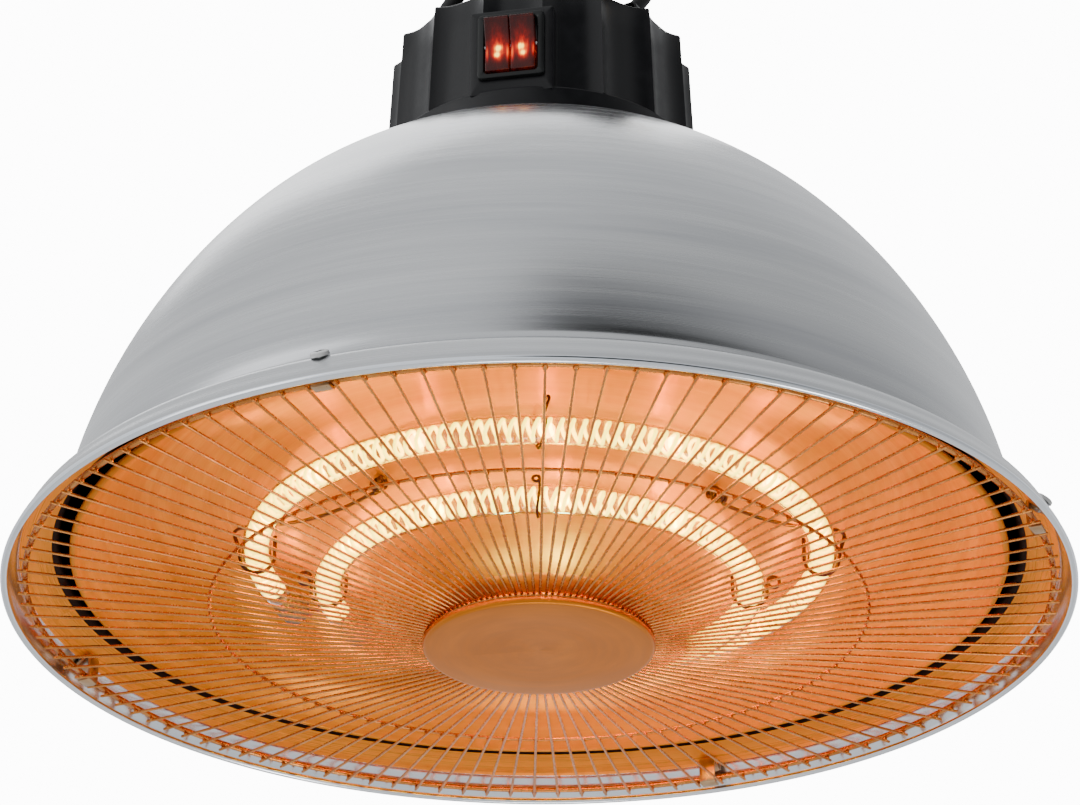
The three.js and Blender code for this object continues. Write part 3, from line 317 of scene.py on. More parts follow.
class Mat(Nodes):
    """A node material: a Principled shader with helpers that add noise, ramps and bumps."""

    def __init__(self, name, color, rough, metal=0.0, **sockets):
        self.m = bpy.data.materials.new(name)
        super().__init__(self.m)
        self.shader = self.nodes["Principled BSDF"]
        self.set("Base Color", (*color, 1))
        self.set("Roughness", rough)
        self.set("Metallic", metal)
        for key, value in sockets.items():
            self.set(key.replace("_", " "), value)
        self.m.diffuse_color = (*color, 1)

    def set(self, socket, value):
        self.shader.inputs[socket].default_value = value

    def coords(self, scale=(1, 1, 1)):
        tex = self.node("ShaderNodeTexCoord")
        mapping = self.node("ShaderNodeMapping")
        mapping.inputs["Scale"].default_value = scale
        self.link(tex.outputs["Object"], mapping.inputs["Vector"])
        return mapping.outputs["Vector"]

    def turned(self, radial, upright, around):
        """Coordinates of a spun piece: its radius, its height, and a little of its angle."""
        tex = self.node("ShaderNodeTexCoord")
        parts = self.node("ShaderNodeSeparateXYZ")
        self.link(tex.outputs["Object"], parts.inputs[0])
        x, y, z = parts.outputs
        squares = self.calc("ADD", self.calc("MULTIPLY", x, x), self.calc("MULTIPLY", y, y))
        length = self.calc("SQRT", squares)
        out = self.node("ShaderNodeCombineXYZ")
        self.link(self.calc("MULTIPLY", length, radial), out.inputs[0])
        self.link(self.calc("MULTIPLY", z, upright), out.inputs[1])
        self.link(self.calc("MULTIPLY", self.calc("ARCTAN2", y, x), around), out.inputs[2])
        return out.outputs[0]

    def noise(self, vector, scale, detail, roughness=0.55):
        n = self.node("ShaderNodeTexNoise", Scale=scale, Detail=detail, Roughness=roughness)
        self.link(vector, n.inputs["Vector"])
        return n.outputs["Fac"]

    def ramp(self, factor, stops):
        n = self.node("ShaderNodeValToRGB")
        n.color_ramp.elements[0].position = stops[0][0]
        n.color_ramp.elements[1].position = stops[-1][0]
        n.color_ramp.elements[0].color = (*stops[0][1], 1)
        n.color_ramp.elements[1].color = (*stops[-1][1], 1)
        for position, color in stops[1:-1]:
            n.color_ramp.elements.new(position).color = (*color, 1)
        self.link(factor, n.inputs["Fac"])
        return n.outputs["Color"]

    def tones(self, vector, scale, detail, stops):
        return self.ramp(self.noise(vector, scale, detail), stops)

    def spread(self, factor, low, high, low_in=0.25, high_in=0.75):
        n = self.node("ShaderNodeMapRange")
        n.inputs["From Min"].default_value, n.inputs["From Max"].default_value = low_in, high_in
        n.inputs["To Min"].default_value, n.inputs["To Max"].default_value = low, high
        self.link(factor, n.inputs["Value"])
        return n.outputs["Result"]

    def bump(self, height, strength, distance, chain=None):
        n = self.node("ShaderNodeBump", Strength=strength, Distance=distance)
        self.link(height, n.inputs["Height"])
        if chain is not None:
            self.link(chain, n.inputs["Normal"])
        self.link(n.outputs["Normal"], self.shader.inputs["Normal"])
        return n.outputs["Normal"]

    def color(self, output):
        self.link(output, self.shader.inputs["Base Color"])

    def rough(self, output):
        self.link(output, self.shader.inputs["Roughness"])

    def emit(self, output):
        self.link(output, self.shader.inputs["Emission Color"])


def grain(mat, scale, strength, rough_low, rough_high, tint=0.12):
    """Fine moulded or cast texture with a slight change of tone over it."""
    vector = mat.coords()
    fine = mat.noise(vector, scale, 3)
    broad = mat.noise(vector, scale / 18, 3)
    mat.bump(fine, strength, 0.00012)
    mat.rough(mat.spread(broad, rough_low, rough_high))
    base = tuple(mat.shader.inputs["Base Color"].default_value)[:3]
    mat.color(mat.ramp(broad, [(0.3, [c * (1 - tint) for c in base]),
                               (0.7, [min(1, c * (1 + tint)) for c in base])]))
    return mat.m


def spun(name, tones, rough, line_scale, bump, anisotropic, metal=1.0, **sockets):
    """Metal turned on a lathe: fine rings, soft bands, and a few broader streaks around it."""
    mat = Mat(name, tones[1], rough[0], metal, Anisotropic=anisotropic, **sockets)
    rings = mat.noise(mat.turned(line_scale, line_scale * 0.8, 0.35), 1.0, 5, 0.7)
    bands = mat.noise(mat.turned(55, 60, 0.5), 1.0, 3)
    streaks = mat.noise(mat.turned(260, 240, 1.6), 1.0, 4, 0.65)
    blend = mat.calc("ADD", mat.calc("MULTIPLY", bands, 0.5),
                     mat.calc("ADD", mat.calc("MULTIPLY", streaks, 0.32),
                              mat.calc("MULTIPLY", rings, 0.18)))
    mat.color(mat.ramp(blend, list(zip((0.38, 0.5, 0.62), tones))))
    wear = mat.calc("ADD", mat.calc("MULTIPLY", rings, 0.4), mat.calc("MULTIPLY", streaks, 0.6))
    mat.rough(mat.spread(wear, *rough))
    tangent = mat.node("ShaderNodeTangent", direction_type="RADIAL", axis="Z")
    mat.link(tangent.outputs[0], mat.shader.inputs["Tangent"])
    first = mat.bump(bands, 0.12, 0.0006)
    mat.bump(rings, bump, 0.00006, first)
    return mat.m


shade_outer = spun("shade_aluminium", ((0.50, 0.51, 0.53), (0.58, 0.59, 0.605), (0.66, 0.67, 0.68)),
                   (0.20, 0.32), 3200, 0.35, 0.5)
# The rolled rim and the lowest inside of the lip: smoother, and lighter and cooler than the dome,
# partly real polish and partly a painted reflection of the pale room
lip_polish_and_sheen = spun("shade_rim_polish_and_sheen", ((0.78, 0.82, 0.88), (0.86, 0.89, 0.94), (0.93, 0.95, 0.98)),
                 (0.12, 0.20), 2600, 0.20, 0.3)
# A near-black copy of the shade's metal for the hollow above the ledge: painted shadow where the
# lamps' light doesn't reach
cavity_shadow_paint = spun("shade_hollow_painted_shadow",
                    ((0.012, 0.004, 0.002), (0.018, 0.006, 0.003), (0.026, 0.009, 0.004)),
                    (0.5, 0.65), 2600, 0.25, 0.2)
# The guard's pressed disc in orange tones: painted glow of the lamps on its metal
disc_glow_paint = spun("disc_metal_painted_glow", ((0.58, 0.165, 0.010), (0.66, 0.19, 0.013), (0.74, 0.22, 0.018)),
                (0.30, 0.42), 2200, 0.10, 0.3)

# Metal inside the shade: its orange is painted glow of the lamps, redder at the hub, and part of it
# scatters light instead of mirroring the room

shade_inner_glow_paint = spun("shade_inside_painted_glow", ((0.78, 0.24, 0.018), (0.88, 0.29, 0.025), (0.95, 0.35, 0.04)),
                   (0.22, 0.34), 2600, 0.25, 0.4, 0.3, Specular_IOR_Level=0.0)
reflector_glow_paint = spun("reflector_aluminium",
                     ((0.60, 0.19, 0.010), (0.70, 0.24, 0.015), (0.82, 0.31, 0.025)),
                     (0.16, 0.30), 1500, 0.30, 0.5, 0.35, Specular_IOR_Level=0.0)
hub_glow_paint = spun("reflector_hub_painted_glow", ((0.74, 0.17, 0.022), (0.88, 0.24, 0.034), (0.96, 0.30, 0.05)),
               (0.35, 0.5), 1500, 0.2, 0.3, 0.3, Specular_IOR_Level=0.0)


def black_plastic(name, base, low, high, strength=0.25, scale=2600):
    return grain(Mat(name, base, low, Specular_IOR_Level=0.3), scale, strength, low, high, 0.15)


cap_mat = black_plastic("cap_plastic", (0.0055, 0.0056, 0.0070), 0.30, 0.40)
bezel_mat = black_plastic("switch_plastic", (0.008, 0.009, 0.009), 0.30, 0.40)
gland_mat = black_plastic("gland_plastic", (0.012, 0.012, 0.013), 0.40, 0.52)
rubber_mat = black_plastic("cord_rubber", (0.014, 0.014, 0.015), 0.50, 0.66, 0.4, 3400)

# Guard wires: chrome with the lamps' glow painted into it as warm copper tones
wire_glow_build = Mat("guard_chrome", (0.44, 0.20, 0.08), 0.22, 1.0)
wire_vector = wire_glow_build.coords()
wire_glow_build.color(wire_glow_build.tones(wire_vector, 60, 4, [
    (0.3, (0.48, 0.16, 0.035)), (0.55, (0.62, 0.24, 0.06)), (0.75, (0.76, 0.35, 0.11))]))
wire_fine = wire_glow_build.noise(wire_vector, 900, 3)
wire_glow_build.rough(wire_glow_build.spread(wire_fine, 0.16, 0.34))
wire_glow_build.bump(wire_fine, 0.15, 0.00005)
wire_glow_paint = wire_glow_build.m


def plated(name, color, tones):
    """Plated steel with a fine dust of tones. Its roughness is added by the caller."""
    mat = Mat(name, color, 0.3, 1.0)
    vector = mat.coords()
    dust = mat.noise(vector, 160, 5)
    mat.color(mat.ramp(dust, list(zip((0.3, 0.6, 0.8), tones))))
    mat.bump(dust, 0.2, 0.00008)
    return mat, vector


zinc_build, zinc_vector = plated("zinc_steel", (0.66, 0.66, 0.65), (
    (0.50, 0.50, 0.49), (0.68, 0.68, 0.67), (0.76, 0.76, 0.75)))
spangle = zinc_build.node("ShaderNodeTexVoronoi", Scale=420.0, feature="F1")
zinc_build.link(zinc_vector, spangle.inputs["Vector"])
zinc_build.rough(zinc_build.spread(spangle.outputs["Distance"], 0.24, 0.42, 0.0, 0.6))
zinc_mat = zinc_build.m

clip_build, clip_vector = plated("warm_lit_steel", (0.55, 0.36, 0.2), (
    (0.44, 0.27, 0.14), (0.56, 0.36, 0.20), (0.66, 0.44, 0.26)))
clip_build.rough(clip_build.spread(clip_build.noise(clip_vector, 700, 3), 0.24, 0.42))
clip_mat = clip_build.m

spring_mat = grain(Mat("spring_wire", (0.085, 0.020, 0.008), 0.42, 0.5),
                   1200, 0.3, 0.34, 0.55, 0.35)
ceramic_mat = grain(Mat("ceramic", (0.78, 0.73, 0.64), 0.5), 1500, 0.3, 0.42, 0.62, 0.08)
scorched_mat = grain(Mat("lamp_cap", (0.20, 0.15, 0.11), 0.5), 1300, 0.35, 0.45, 0.65, 0.3)
brass_mat = grain(Mat("plug_brass", (0.72, 0.52, 0.22), 0.25, 1.0), 900, 0.12, 0.18, 0.34)
lead_mat = grain(Mat("lead", (0.42, 0.09, 0.05), 0.6), 2200, 0.5, 0.5, 0.75, 0.2)
# Dark colour for the screws' cross recess: painted shade in it
recess_shade_paint = grain(Mat("screw_recess_painted_shade", (0.05, 0.05, 0.05), 0.5, 0.6), 900, 0.1, 0.45, 0.6, 0.2)

quartz_build = Mat("quartz", (1.0, 0.98, 0.93), 0.03, Transmission_Weight=1.0, IOR=1.45)
haze = quartz_build.noise(quartz_build.coords(), 240, 4)
quartz_build.rough(quartz_build.spread(haze, 0.0, 0.10, 0.35, 0.8))
quartz_build.bump(haze, 0.05, 0.0001)
quartz_mat = quartz_build.m


def shining(name, color, rough, strength, scale, detail, stops):
    """A surface that gives light in tones over a fine noise."""
    mat = Mat(name, color, rough, Emission_Strength=strength)
    mat.emit(mat.tones(mat.coords(), scale, detail, stops))
    return mat.m


glow_mat = shining("glow", (1.0, 0.62, 0.25), 0.6, 5.2, 500, 3, [
    (0.3, (1.0, 0.82, 0.02)), (0.7, (1.0, 0.92, 0.10))])
neon_mat = shining("neon_glass", (1.0, 0.55, 0.2), 0.1, 12.0, 700, 2, [
    (0.35, (1.0, 0.38, 0.05)), (0.65, (1.0, 0.70, 0.25))])

# Rockers: dark red, with the neon lamps' light painted into them as a few soft glowing spots
# Each spot: its distance from the middle plane and its height in metres, its two sizes, its power

ROCKER_SPOTS = (
    (0.0047, -0.0980, 0.0015, 0.0015, 0.95), (0.0054, -0.1013, 0.0013, 0.0013, 0.95),
    (0.0050, -0.0990, 0.0034, 0.0046, 0.34), (0.0050, -0.0945, 0.0046, 0.0075, 0.16),
    (0.0010, -0.1005, 0.0006, 0.0036, 0.55), (0.0096, -0.1000, 0.0006, 0.0032, 0.45),
)
BELL_BASE = 2.718
red_build = Mat("rocker_red", (0.06, 0.002, 0.001), 0.10,
                Transmission_Weight=0.35, IOR=1.49, Specular_IOR_Level=0.2)
red_noise = red_build.noise(red_build.coords((1, 1, 0.2)), 520, 4)
red_build.color(red_build.ramp(red_noise, [
    (0.3, (0.035, 0.001, 0.0005)), (0.7, (0.09, 0.003, 0.001))]))
red_build.rough(red_build.spread(red_noise, 0.06, 0.20))
red_build.bump(red_noise, 0.25, 0.0003)
streaks = red_build.noise(red_build.coords((1, 1, 0.06)), 900, 3, 0.7)
red_place = red_build.node("ShaderNodeTexCoord")
red_parts = red_build.node("ShaderNodeSeparateXYZ")
red_build.link(red_place.outputs["Object"], red_parts.inputs[0])
red_calc = red_build.calc
from_middle = red_calc("ABSOLUTE", red_parts.outputs[0])
lit = None
for spot_x, spot_z, wide, tall, power in ROCKER_SPOTS:
    u = red_calc("DIVIDE", red_calc("SUBTRACT", from_middle, spot_x), wide)
    v = red_calc("DIVIDE", red_calc("SUBTRACT", red_parts.outputs[2], spot_z), tall)
    reach = red_calc("ADD", red_calc("MULTIPLY", u, u), red_calc("MULTIPLY", v, v))
    bell = red_calc("POWER", BELL_BASE, red_calc("MULTIPLY", reach, -1.0))
    part = red_calc("MULTIPLY", bell, power)
    lit = part if lit is None else red_calc("ADD", lit, part)
uneven = red_build.spread(streaks, 0.55, 1.2, 0.3, 0.7)
lit = red_calc("MINIMUM", red_calc("MULTIPLY", lit, uneven), 1.0)
red_build.emit(red_build.ramp(lit, [(0.0, (0.4, 0.003, 0.0)), (0.3, (1.0, 0.015, 0.0)),
                                    (0.6, (1.0, 0.16, 0.005)), (1.0, (1.0, 0.70, 0.08))]))
red_build.link(red_calc("MULTIPLY", red_calc("POWER", lit, 1.6), 3.8),
               red_build.shader.inputs["Emission Strength"])
red_mat = red_build.m


# Mains cord: one spline from the gland, over in an arch, round its coil and on to the plug

GLAND_PLACE = Vector((6.7, 17.0, 0.0))
GLAND_LOW, SLEEVE_REACH = 6.3, 17.3
LEAN = rad(45)
gland_way = Vector((math.sin(LEAN), 0, math.cos(LEAN)))
cord_start = GLAND_PLACE + Vector((0, 0, GLAND_LOW)) + gland_way * SLEEVE_REACH
CORD_WAY = [
    (31.6, 17, 31.1), (37.8, 17.1, 37.5), (43.2, 18.4, 44.4), (46.9, 21.4, 51.9),
    (48.4, 26.2, 59.2), (47.5, 32.1, 65.8), (44.5, 38.7, 70.9), (39.5, 45.3, 74.1),
    (33, 51.4, 75.1), (25.7, 56.2, 73.8), (18.2, 59.4, 70.2), (11.2, 60.8, 64.9),
    (5.9, 60.9, 57.8), (3, 60.9, 49.4), (2.2, 60.9, 40.5), (1.9, 60.7, 31.6),
    (0.2, 59.5, 23), (-3.5, 56.8, 15.3), (-8.9, 52.9, 9.5), (-15.5, 48.1, 5.9),
]
CORD_RADIUS = 3.3
COIL_CIRCLE, COIL_PITCH, COIL_CLIMB, COIL_DIP, COIL_START = 48, 7.2, 0.5, 1.8, rad(126)
COIL_BELOW, COIL_ABOVE = 2.67, 1.9688
COIL_LOW, COIL_HIGH = 4.7, 11.9
COIL_TURNS = COIL_BELOW + COIL_CLIMB + COIL_ABOVE
KNOTS_PER_TURN = 24
PLUG_LEAD = [(-43, -15.5, 12.2), (-39, -25.2, 13.6), (-32.9, -32.8, 16.6), (-26.2, -37.3, 20.7),
             (-18, -39.9, 25.9), (-9.4, -41, 30.3), (1.2, -41, 32.9)]
PLUG_FOOT = Vector((8, -41, 32.9))


def coil_place(turns):
    """The coil's middle line: inwards in the lower layer, up, and outwards in the upper one."""
    angle = COIL_START + turns * TAU
    climb = min(1, max(0, (turns - COIL_BELOW) / COIL_CLIMB))
    inner = COIL_CIRCLE - COIL_BELOW * COIL_PITCH
    circle = inner - COIL_DIP * math.sin(climb * math.pi) ** 2
    if climb == 0:
        circle = COIL_CIRCLE - turns * COIL_PITCH
    if climb == 1:
        circle = inner + (turns - COIL_BELOW - COIL_CLIMB) * COIL_PITCH
    eased = climb * climb * (3 - 2 * climb)
    return polar(circle, angle, COIL_LOW + eased * (COIL_HIGH - COIL_LOW))


def past_end(knot, neighbour):
    """A knot one cord's thickness further on, so that the coil is left in a straight line."""
    return knot + (knot - neighbour).normalized() * 2 * CORD_RADIUS


coil_count = round(COIL_TURNS * KNOTS_PER_TURN)
coil_knots = [coil_place(i / coil_count * COIL_TURNS) for i in range(coil_count + 1)]
NEAR = 0.002
coil_start = past_end(coil_knots[0], coil_place(NEAR))
coil_end = past_end(coil_knots[-1], coil_place(COIL_TURNS - NEAR))
cord_knots = [over_cap(p) for p in
              [cord_start, *CORD_WAY, coil_start, *coil_knots, coil_end, *PLUG_LEAD, PLUG_FOOT]]
cord_curve = bpy.data.curves.new("mains_cord", "CURVE")
cord_curve.dimensions = "3D"
cord_curve.bevel_depth = CORD_RADIUS * MM
cord_curve.bevel_resolution = 4
cord_curve.use_fill_caps = True
spline = cord_curve.splines.new("BEZIER")
spline.bezier_points.add(len(cord_knots) - 1)
spline.resolution_u = 5
cord_tangents, cord_spans = knot_tangents(cord_knots)
for i, (knot, point) in enumerate(zip(cord_knots, spline.bezier_points)):
    before = cord_spans[max(i - 1, 0)]
    after = cord_spans[min(i, len(cord_spans) - 1)]
    point.handle_left_type = point.handle_right_type = "FREE"
    point.co = at(*knot)
    point.handle_left = at(*(knot - cord_tangents[i] * before / 3))
    point.handle_right = at(*(knot + cord_tangents[i] * after / 3))
cord_curve.materials.append(rubber_mat)
cord = bpy.data.objects.new("mains_cord", cord_curve)
scene.collection.objects.link(cord)
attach(cord, "heater")
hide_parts("cord", "cord_coil", "plug_lead")


# Plug: tapered ribbed tail, grip with finger ridges, wide face, two pins

PLUG_AT = shift(*over_cap(PLUG_FOOT)) @ spin(TURN) @ Matrix.Rotation(rad(90), 4, "Y")
profile = [(0, 0.6), (3.7, 0.6)]
for i in range(6):
    z = 0.9 + i * 2.3
    r = 4.2 + i * 0.08
    profile += [(r, z), (r + 0.35, z + 0.35), (r + 0.35, z + 1.15), (r, z + 1.5),
                (r - 0.35, z + 1.7), (r - 0.35, z + 2.1)]
profile += [(6.2, 15.2), (10.4, 16.4), (12.6, 18.0), (13.0, 20.0), (12.5, 22.6), (12.6, 25.5),
            (13.4, 28.0), (15.6, 29.6), (17.0, 30.6), (17.5, 31.8), (17.5, 38.6), (17.0, 39.9),
            (15.8, 40.6), (0, 40.6)]
plug = lathe(profile, 64, closed=False)
RIDGE = ((12.2, 19.4), (12.7, 21.0), (12.7, 25.4), (12.9, 27.2))
for k in range(10):
    plug.merge(tube([polar(r, k * TAU / 10, z) for r, z in RIDGE], 0.9, 8))
plug = plug.moved(PLUG_AT).make("plug", [rubber_mat], "cord_rubber", "plug_body")
PIN = [(0, 40.9), (2.4, 40.9), (2.4, 57.4), (2.2, 58.6), (1.6, 59.5), (0.8, 59.9), (0, 59.9)]
PIN_FROM_MIDDLE = 9.5
for i, side in ((1, -1), (2, 1)):
    pin = lathe(PIN, 24, closed=False).moved(PLUG_AT @ shift(side * PIN_FROM_MIDDLE, 0, 0))
    pin.make(f"plug_pin_{i}_turned", [brass_mat], "plug_brass", f"plug_pin_{i}")

TIE_ANGLE, TIE_OUT, TIE_UP = rad(330), 36.4, 8.05


def tie_loop(width, tall, corner, across):
    return [(TIE_OUT + x, across, TIE_UP + y) for x, y in rounded_loop(width, tall, corner, 6)]


tie_loops = [tie_loop(23.6 - inset, 15.5 - inset, 3.2, across)
             for across, inset in ((-3.0, 0.15), (-2.4, 0), (2.4, 0), (3.0, 0.15))]
tie_loops += [tie_loop(22.15, 14.05, 2.6, across) for across in (3.0, -3.0)]
tie = loft(tie_loops).merge(block((34.2, -3.6, 15.4), (38.6, 3.6, 16.6)))
tie = tie.moved(shift(0, 0, CAP_TOP) @ spin(TURN + TIE_ANGLE))
tie = tie.make("coil_band", [gland_mat], "cord_rubber", "coil_tie", bevel=(0.25, 2, 50))


# Shade: one spun sheet with a rolled rim, a flared lip, a small ledge and the dome

RIM, LIP_W, LIP_H, DOME_R, DOME_Z = 212.5, 21.5, 18.5, 182.0, 22.0
BEAD_R, SHEET, ROD_HOLE = 1.5, 1.0, 4.3
SPUN_SIDES = 224
BRIGHT_BELOW, PAINTED_SHADOW_ABOVE = 10.4, 16.3
LIP_ACROSS = (0.944, 0.86, 0.758, 0.63, 0.46, 0.02)
LIP_UP = (0.162, 0.324, 0.54, 0.66, 0.757, 0.973)


def rolled_edge(radius, height, start, sweep, steps):
    """The rolled edge of a sheet, round a middle at that radius and height."""
    angles = [rad(start + sweep * i / steps) for i in range(steps + 1)]
    return [(radius + BEAD_R * math.cos(a), height + BEAD_R * math.sin(a)) for a in angles]


def dome_point(angle):
    """A point of the dome's outside, which widens a little towards its foot."""
    reach = DOME_R + 10 * max(0, 1 - angle / rad(40)) ** 2
    return reach * math.cos(angle), DOME_Z + reach * math.sin(angle)


bead = rolled_edge(RIM - BEAD_R, 0, 155, 235, 18)
lip = [(RIM - LIP_W + s * LIP_W, h * LIP_H) for s, h in zip(LIP_ACROSS, LIP_UP)]
dome_top_angle = math.acos(ROD_HOLE / DOME_R)
walls = [bead[-1], *lip, *(dome_point(dome_top_angle * i / 14) for i in range(15))]
outer_line = smooth_line(walls, 6)
inner_line = [p for p in reversed(beside(outer_line, SHEET)) if p.y > 1.4]
# Zones of the sheet: the inside in painted lamp glow, painted shadow above the ledge, and the
# lighter rim and lowest lip
OUTSIDE, INSIDE_SHEET, CAVITY, LIP = range(4)
kinds = [LIP] * (len(bead) - 1) + [OUTSIDE] * len(outer_line)
kinds += [LIP if p.y < BRIGHT_BELOW else CAVITY if p.y > PAINTED_SHADOW_ABOVE else INSIDE_SHEET
          for p in inner_line]
shade = lathe(bead + outer_line[1:] + inner_line, SPUN_SIDES, CLIP_TURN, kinds=kinds)
shade.make("shade_spun", [shade_outer, shade_inner_glow_paint, cavity_shadow_paint, lip_polish_and_sheen],
           "shade_aluminium", "shade", smooth=50)


# Reflector: flat hub, cone, crown, outer slope, rolled edge

CONE_SLOPE = math.atan2(42, 73)
HUB_R, HUB_Z, CROWN_R, REFLECTOR_R = 42, -4, 131, 185


def cone_height(radius):
    return HUB_Z + (radius - HUB_R) * math.tan(CONE_SLOPE)


face = [(ROD_HOLE, HUB_Z), (20, HUB_Z), (40.2, HUB_Z), (41.6, -3.9), (43.2, -3.2)]
face += [(r, cone_height(r)) for r in (50, 70, 92, 110)]
face += [(115.4, 38.0), (119.5, 39.9), (125, 41.6), (CROWN_R, 42.5), (138, 42.4), (145.0, 41.1),
         (154, 37.7), (162.3, 33.4), (171, 27.4), (178.5, 20.2), (182.6, 15.9)]
lower = [p for p in smooth_line(face, 4) if p.x < 182.9]
lower += rolled_edge(REFLECTOR_R, 15, 210, 240, 14)
upper = []
for r, z in reversed(face[:-1]):
    widening = 0.8 * (r - CROWN_R) / (REFLECTOR_R - CROWN_R) if r > CROWN_R else 0
    upper.append((r + widening, z + (0.9 if r > HUB_R else 0.8)))
zones = [1 if r < HUB_R + 0.5 else 0 for r, _ in lower + upper]
lathe(lower + upper, SPUN_SIDES, kinds=zones).make(
    "reflector_spun", [reflector_glow_paint, hub_glow_paint], "reflector_aluminium", "reflector", smooth=50)


# Lamps: quartz tubes bent to a ring, wound filament, pinched ends, caps, leads and bushes

LAMP_START, LAMP_SWEEP = rad(169), rad(302)
LAMPS = {"outer": (113.0, 22.5, 132), "inner": (84.0, 8.0, 98)}
TUBE_R, TUBE_SIDES, TUBE_STEPS = 5.75, 20, 168
WINDING_R, FILAMENT_R, STEPS_PER_WIND = 4.05, 0.8, 14
GAP = 0.3


def pinched(run, total, full, least, span=9.0):
    """A tube's radius at a place along it, drawn in near both ends."""
    edge = min(run, total - run)
    if edge >= span:
        return full
    t = edge / span
    return least + (full - least) * (t * t * (3 - 2 * t))


for name, (circle, z, winds) in LAMPS.items():
    sweeps = [LAMP_SWEEP * i / TUBE_STEPS for i in range(TUBE_STEPS + 1)]
    line = [polar(circle, LAMP_START + sweep, z) for sweep in sweeps]
    runs = [sweep * circle for sweep in sweeps]
    outside = tube(line, [pinched(run, runs[-1], TUBE_R, 3.4) for run in runs], TUBE_SIDES)
    inside = tube(line, [pinched(run, runs[-1], 4.95, 2.4) for run in runs], TUBE_SIDES)
    for wall in (outside, inside):
        wall.faces, wall.kinds = wall.faces[:-2], wall.kinds[:-2]
    inside.faces = [f[::-1] for f in inside.faces]
    wall_verts = len(outside.verts)
    glass = Shape().merge(outside).merge(inside)
    for base in (0, TUBE_STEPS * TUBE_SIDES):
        for k in range(TUBE_SIDES):
            m = (k + 1) % TUBE_SIDES
            quad = [base + k, base + m, wall_verts + base + m, wall_verts + base + k]
            glass.faces.append(quad if base else quad[::-1])
            glass.kinds.append(0)
    glass = glass.make(f"{name}_lamp_tube", [quartz_mat], "quartz", f"{name}_tube", smooth=60)
    glass.visible_shadow = False

    coil = []
    inset = 10.0 / circle
    count = winds * STEPS_PER_WIND
    rng = random.Random(7 if name == "outer" else 11)
    lean = [rng.uniform(-0.35, 0.35) for _ in range(winds + 2)]
    for i in range(count + 1):
        share = i / count
        turn = share * winds
        k = int(turn)
        wobble = lean[k] * (1 - (turn - k)) + lean[k + 1] * (turn - k)
        a = turn * TAU
        along = LAMP_START + inset + share * (LAMP_SWEEP - 2 * inset)
        along += (wobble * 1.1 + 0.9 * math.sin(2 * a)) / circle * 0.55
        coil.append(polar(circle + WINDING_R * math.cos(a), along, z + WINDING_R * math.sin(a)))
    filament = tube(coil, FILAMENT_R, 6).make(
        f"{name}_lamp_filament", [glow_mat], "glow", f"{name}_filament", smooth=80)
    filament.visible_shadow = False

BUSH_RUN = 13.0 + 6.5 + 0.6
BLOCK_ANGLE, BLOCK_Z, BLOCK_PITCH = rad(140), 204, 6.5
LEAD_WAYS = [BLOCK_PITCH * way for way in (1.5, -1.5, 0.5, -0.5)]
BLOCK_FOOT = BLOCK_Z + GAP + 1.5 + GAP
END_CAP = [(0, 0.35), (3.6, 0.35), (4.2, 0.9), (4.4, 1.8), (5.9, 2.2), (6.2, 2.7), (6.2, 6.4),
           (5.9, 6.8), (5.9, 7.6), (6.2, 8.0), (6.2, 11.4), (5.6, 12.6), (4.4, 13.2), (2.2, 13.3),
           (0, 13.3)]
BUSH = [(1.8, -2.6), (2.3, -3.0), (5.4, -3.0), (6.3, -2.5), (6.5, -1.9), (6.5, -0.6), (6.2, -0.35),
        (4.0, -0.3), (4.0, 5.2), (3.4, 6.0), (2.0, 6.0), (1.8, 5.6)]


def in_block(out, across, height):
    """A place beside the terminal block, measured outwards and across."""
    return spin(BLOCK_ANGLE) @ Vector((out, across, height))


ends = []
for name, (circle, z, _) in LAMPS.items():
    ends.append((f"{name}_start", circle, z, LAMP_START, -1))
    ends.append((f"{name}_end", circle, z, LAMP_START + LAMP_SWEEP, 1))
for (label, circle, z, angle, side), across in zip(ends, LEAD_WAYS):
    mouth = shift(*polar(circle, angle, z)) @ spin(angle) @ Matrix.Rotation(rad(-90 * side), 4, "X")
    lathe(END_CAP, 32, closed=False).moved(mouth).make(
        f"{label}_lamp_cap", [scorched_mat], "ceramic", f"{label}_end_cap", smooth=40)
    bush_angle, bush_circle = angle + side * BUSH_RUN / circle, circle - 9
    foot = polar(bush_circle, bush_angle, cone_height(bush_circle))
    on_cone = shift(*foot) @ spin(bush_angle) @ Matrix.Rotation(-CONE_SLOPE, 4, "Y")
    lathe(BUSH, 32).moved(on_cone).make(
        f"{label}_ceramic_bush", [ceramic_mat], "ceramic", f"{label}_bush", smooth=40)
    normal = on_cone.to_3x3() @ Vector((0, 0, 1))
    run = [
        *(spin(angle) @ Vector((circle, side * far, z)) for far in (13.6, 16.2)),
        foot - normal * 6, foot, foot + normal * 9, foot + normal * 18,
        in_block(60, across, BLOCK_Z * 0.45), in_block(30, across, BLOCK_Z * 0.72),
        in_block(30, across, 182), in_block(30, across, BLOCK_FOOT),
        in_block(31.3, across, BLOCK_FOOT + 3.4), in_block(34.4, across, BLOCK_FOOT + 6),
        in_block(41.67, across, BLOCK_FOOT + 6),
    ]
    tube(smooth_line(run, 8), 1.3, 10).make(
        f"{label}_lamp_lead", [lead_mat], "lead", f"{label}_lead", smooth=80)


# Lamp supports: bent spring wire with a curl outside the tube, two of them ending in a coil

SUPPORTS = {"left": rad(191), "front": rad(-79), "right": rad(11)}
SPRING_TURN = {"left": 0.1278 * TAU, "right": -0.1111 * TAU}
SUPPORT_R, FRONT_R = 0.8, 0.55
SPRING_R, SPRING_PITCH, SPRING_TURNS, SPRING_STEPS = 2.2, 2.3, 3, 14
UP = Vector((0, 0, 1))


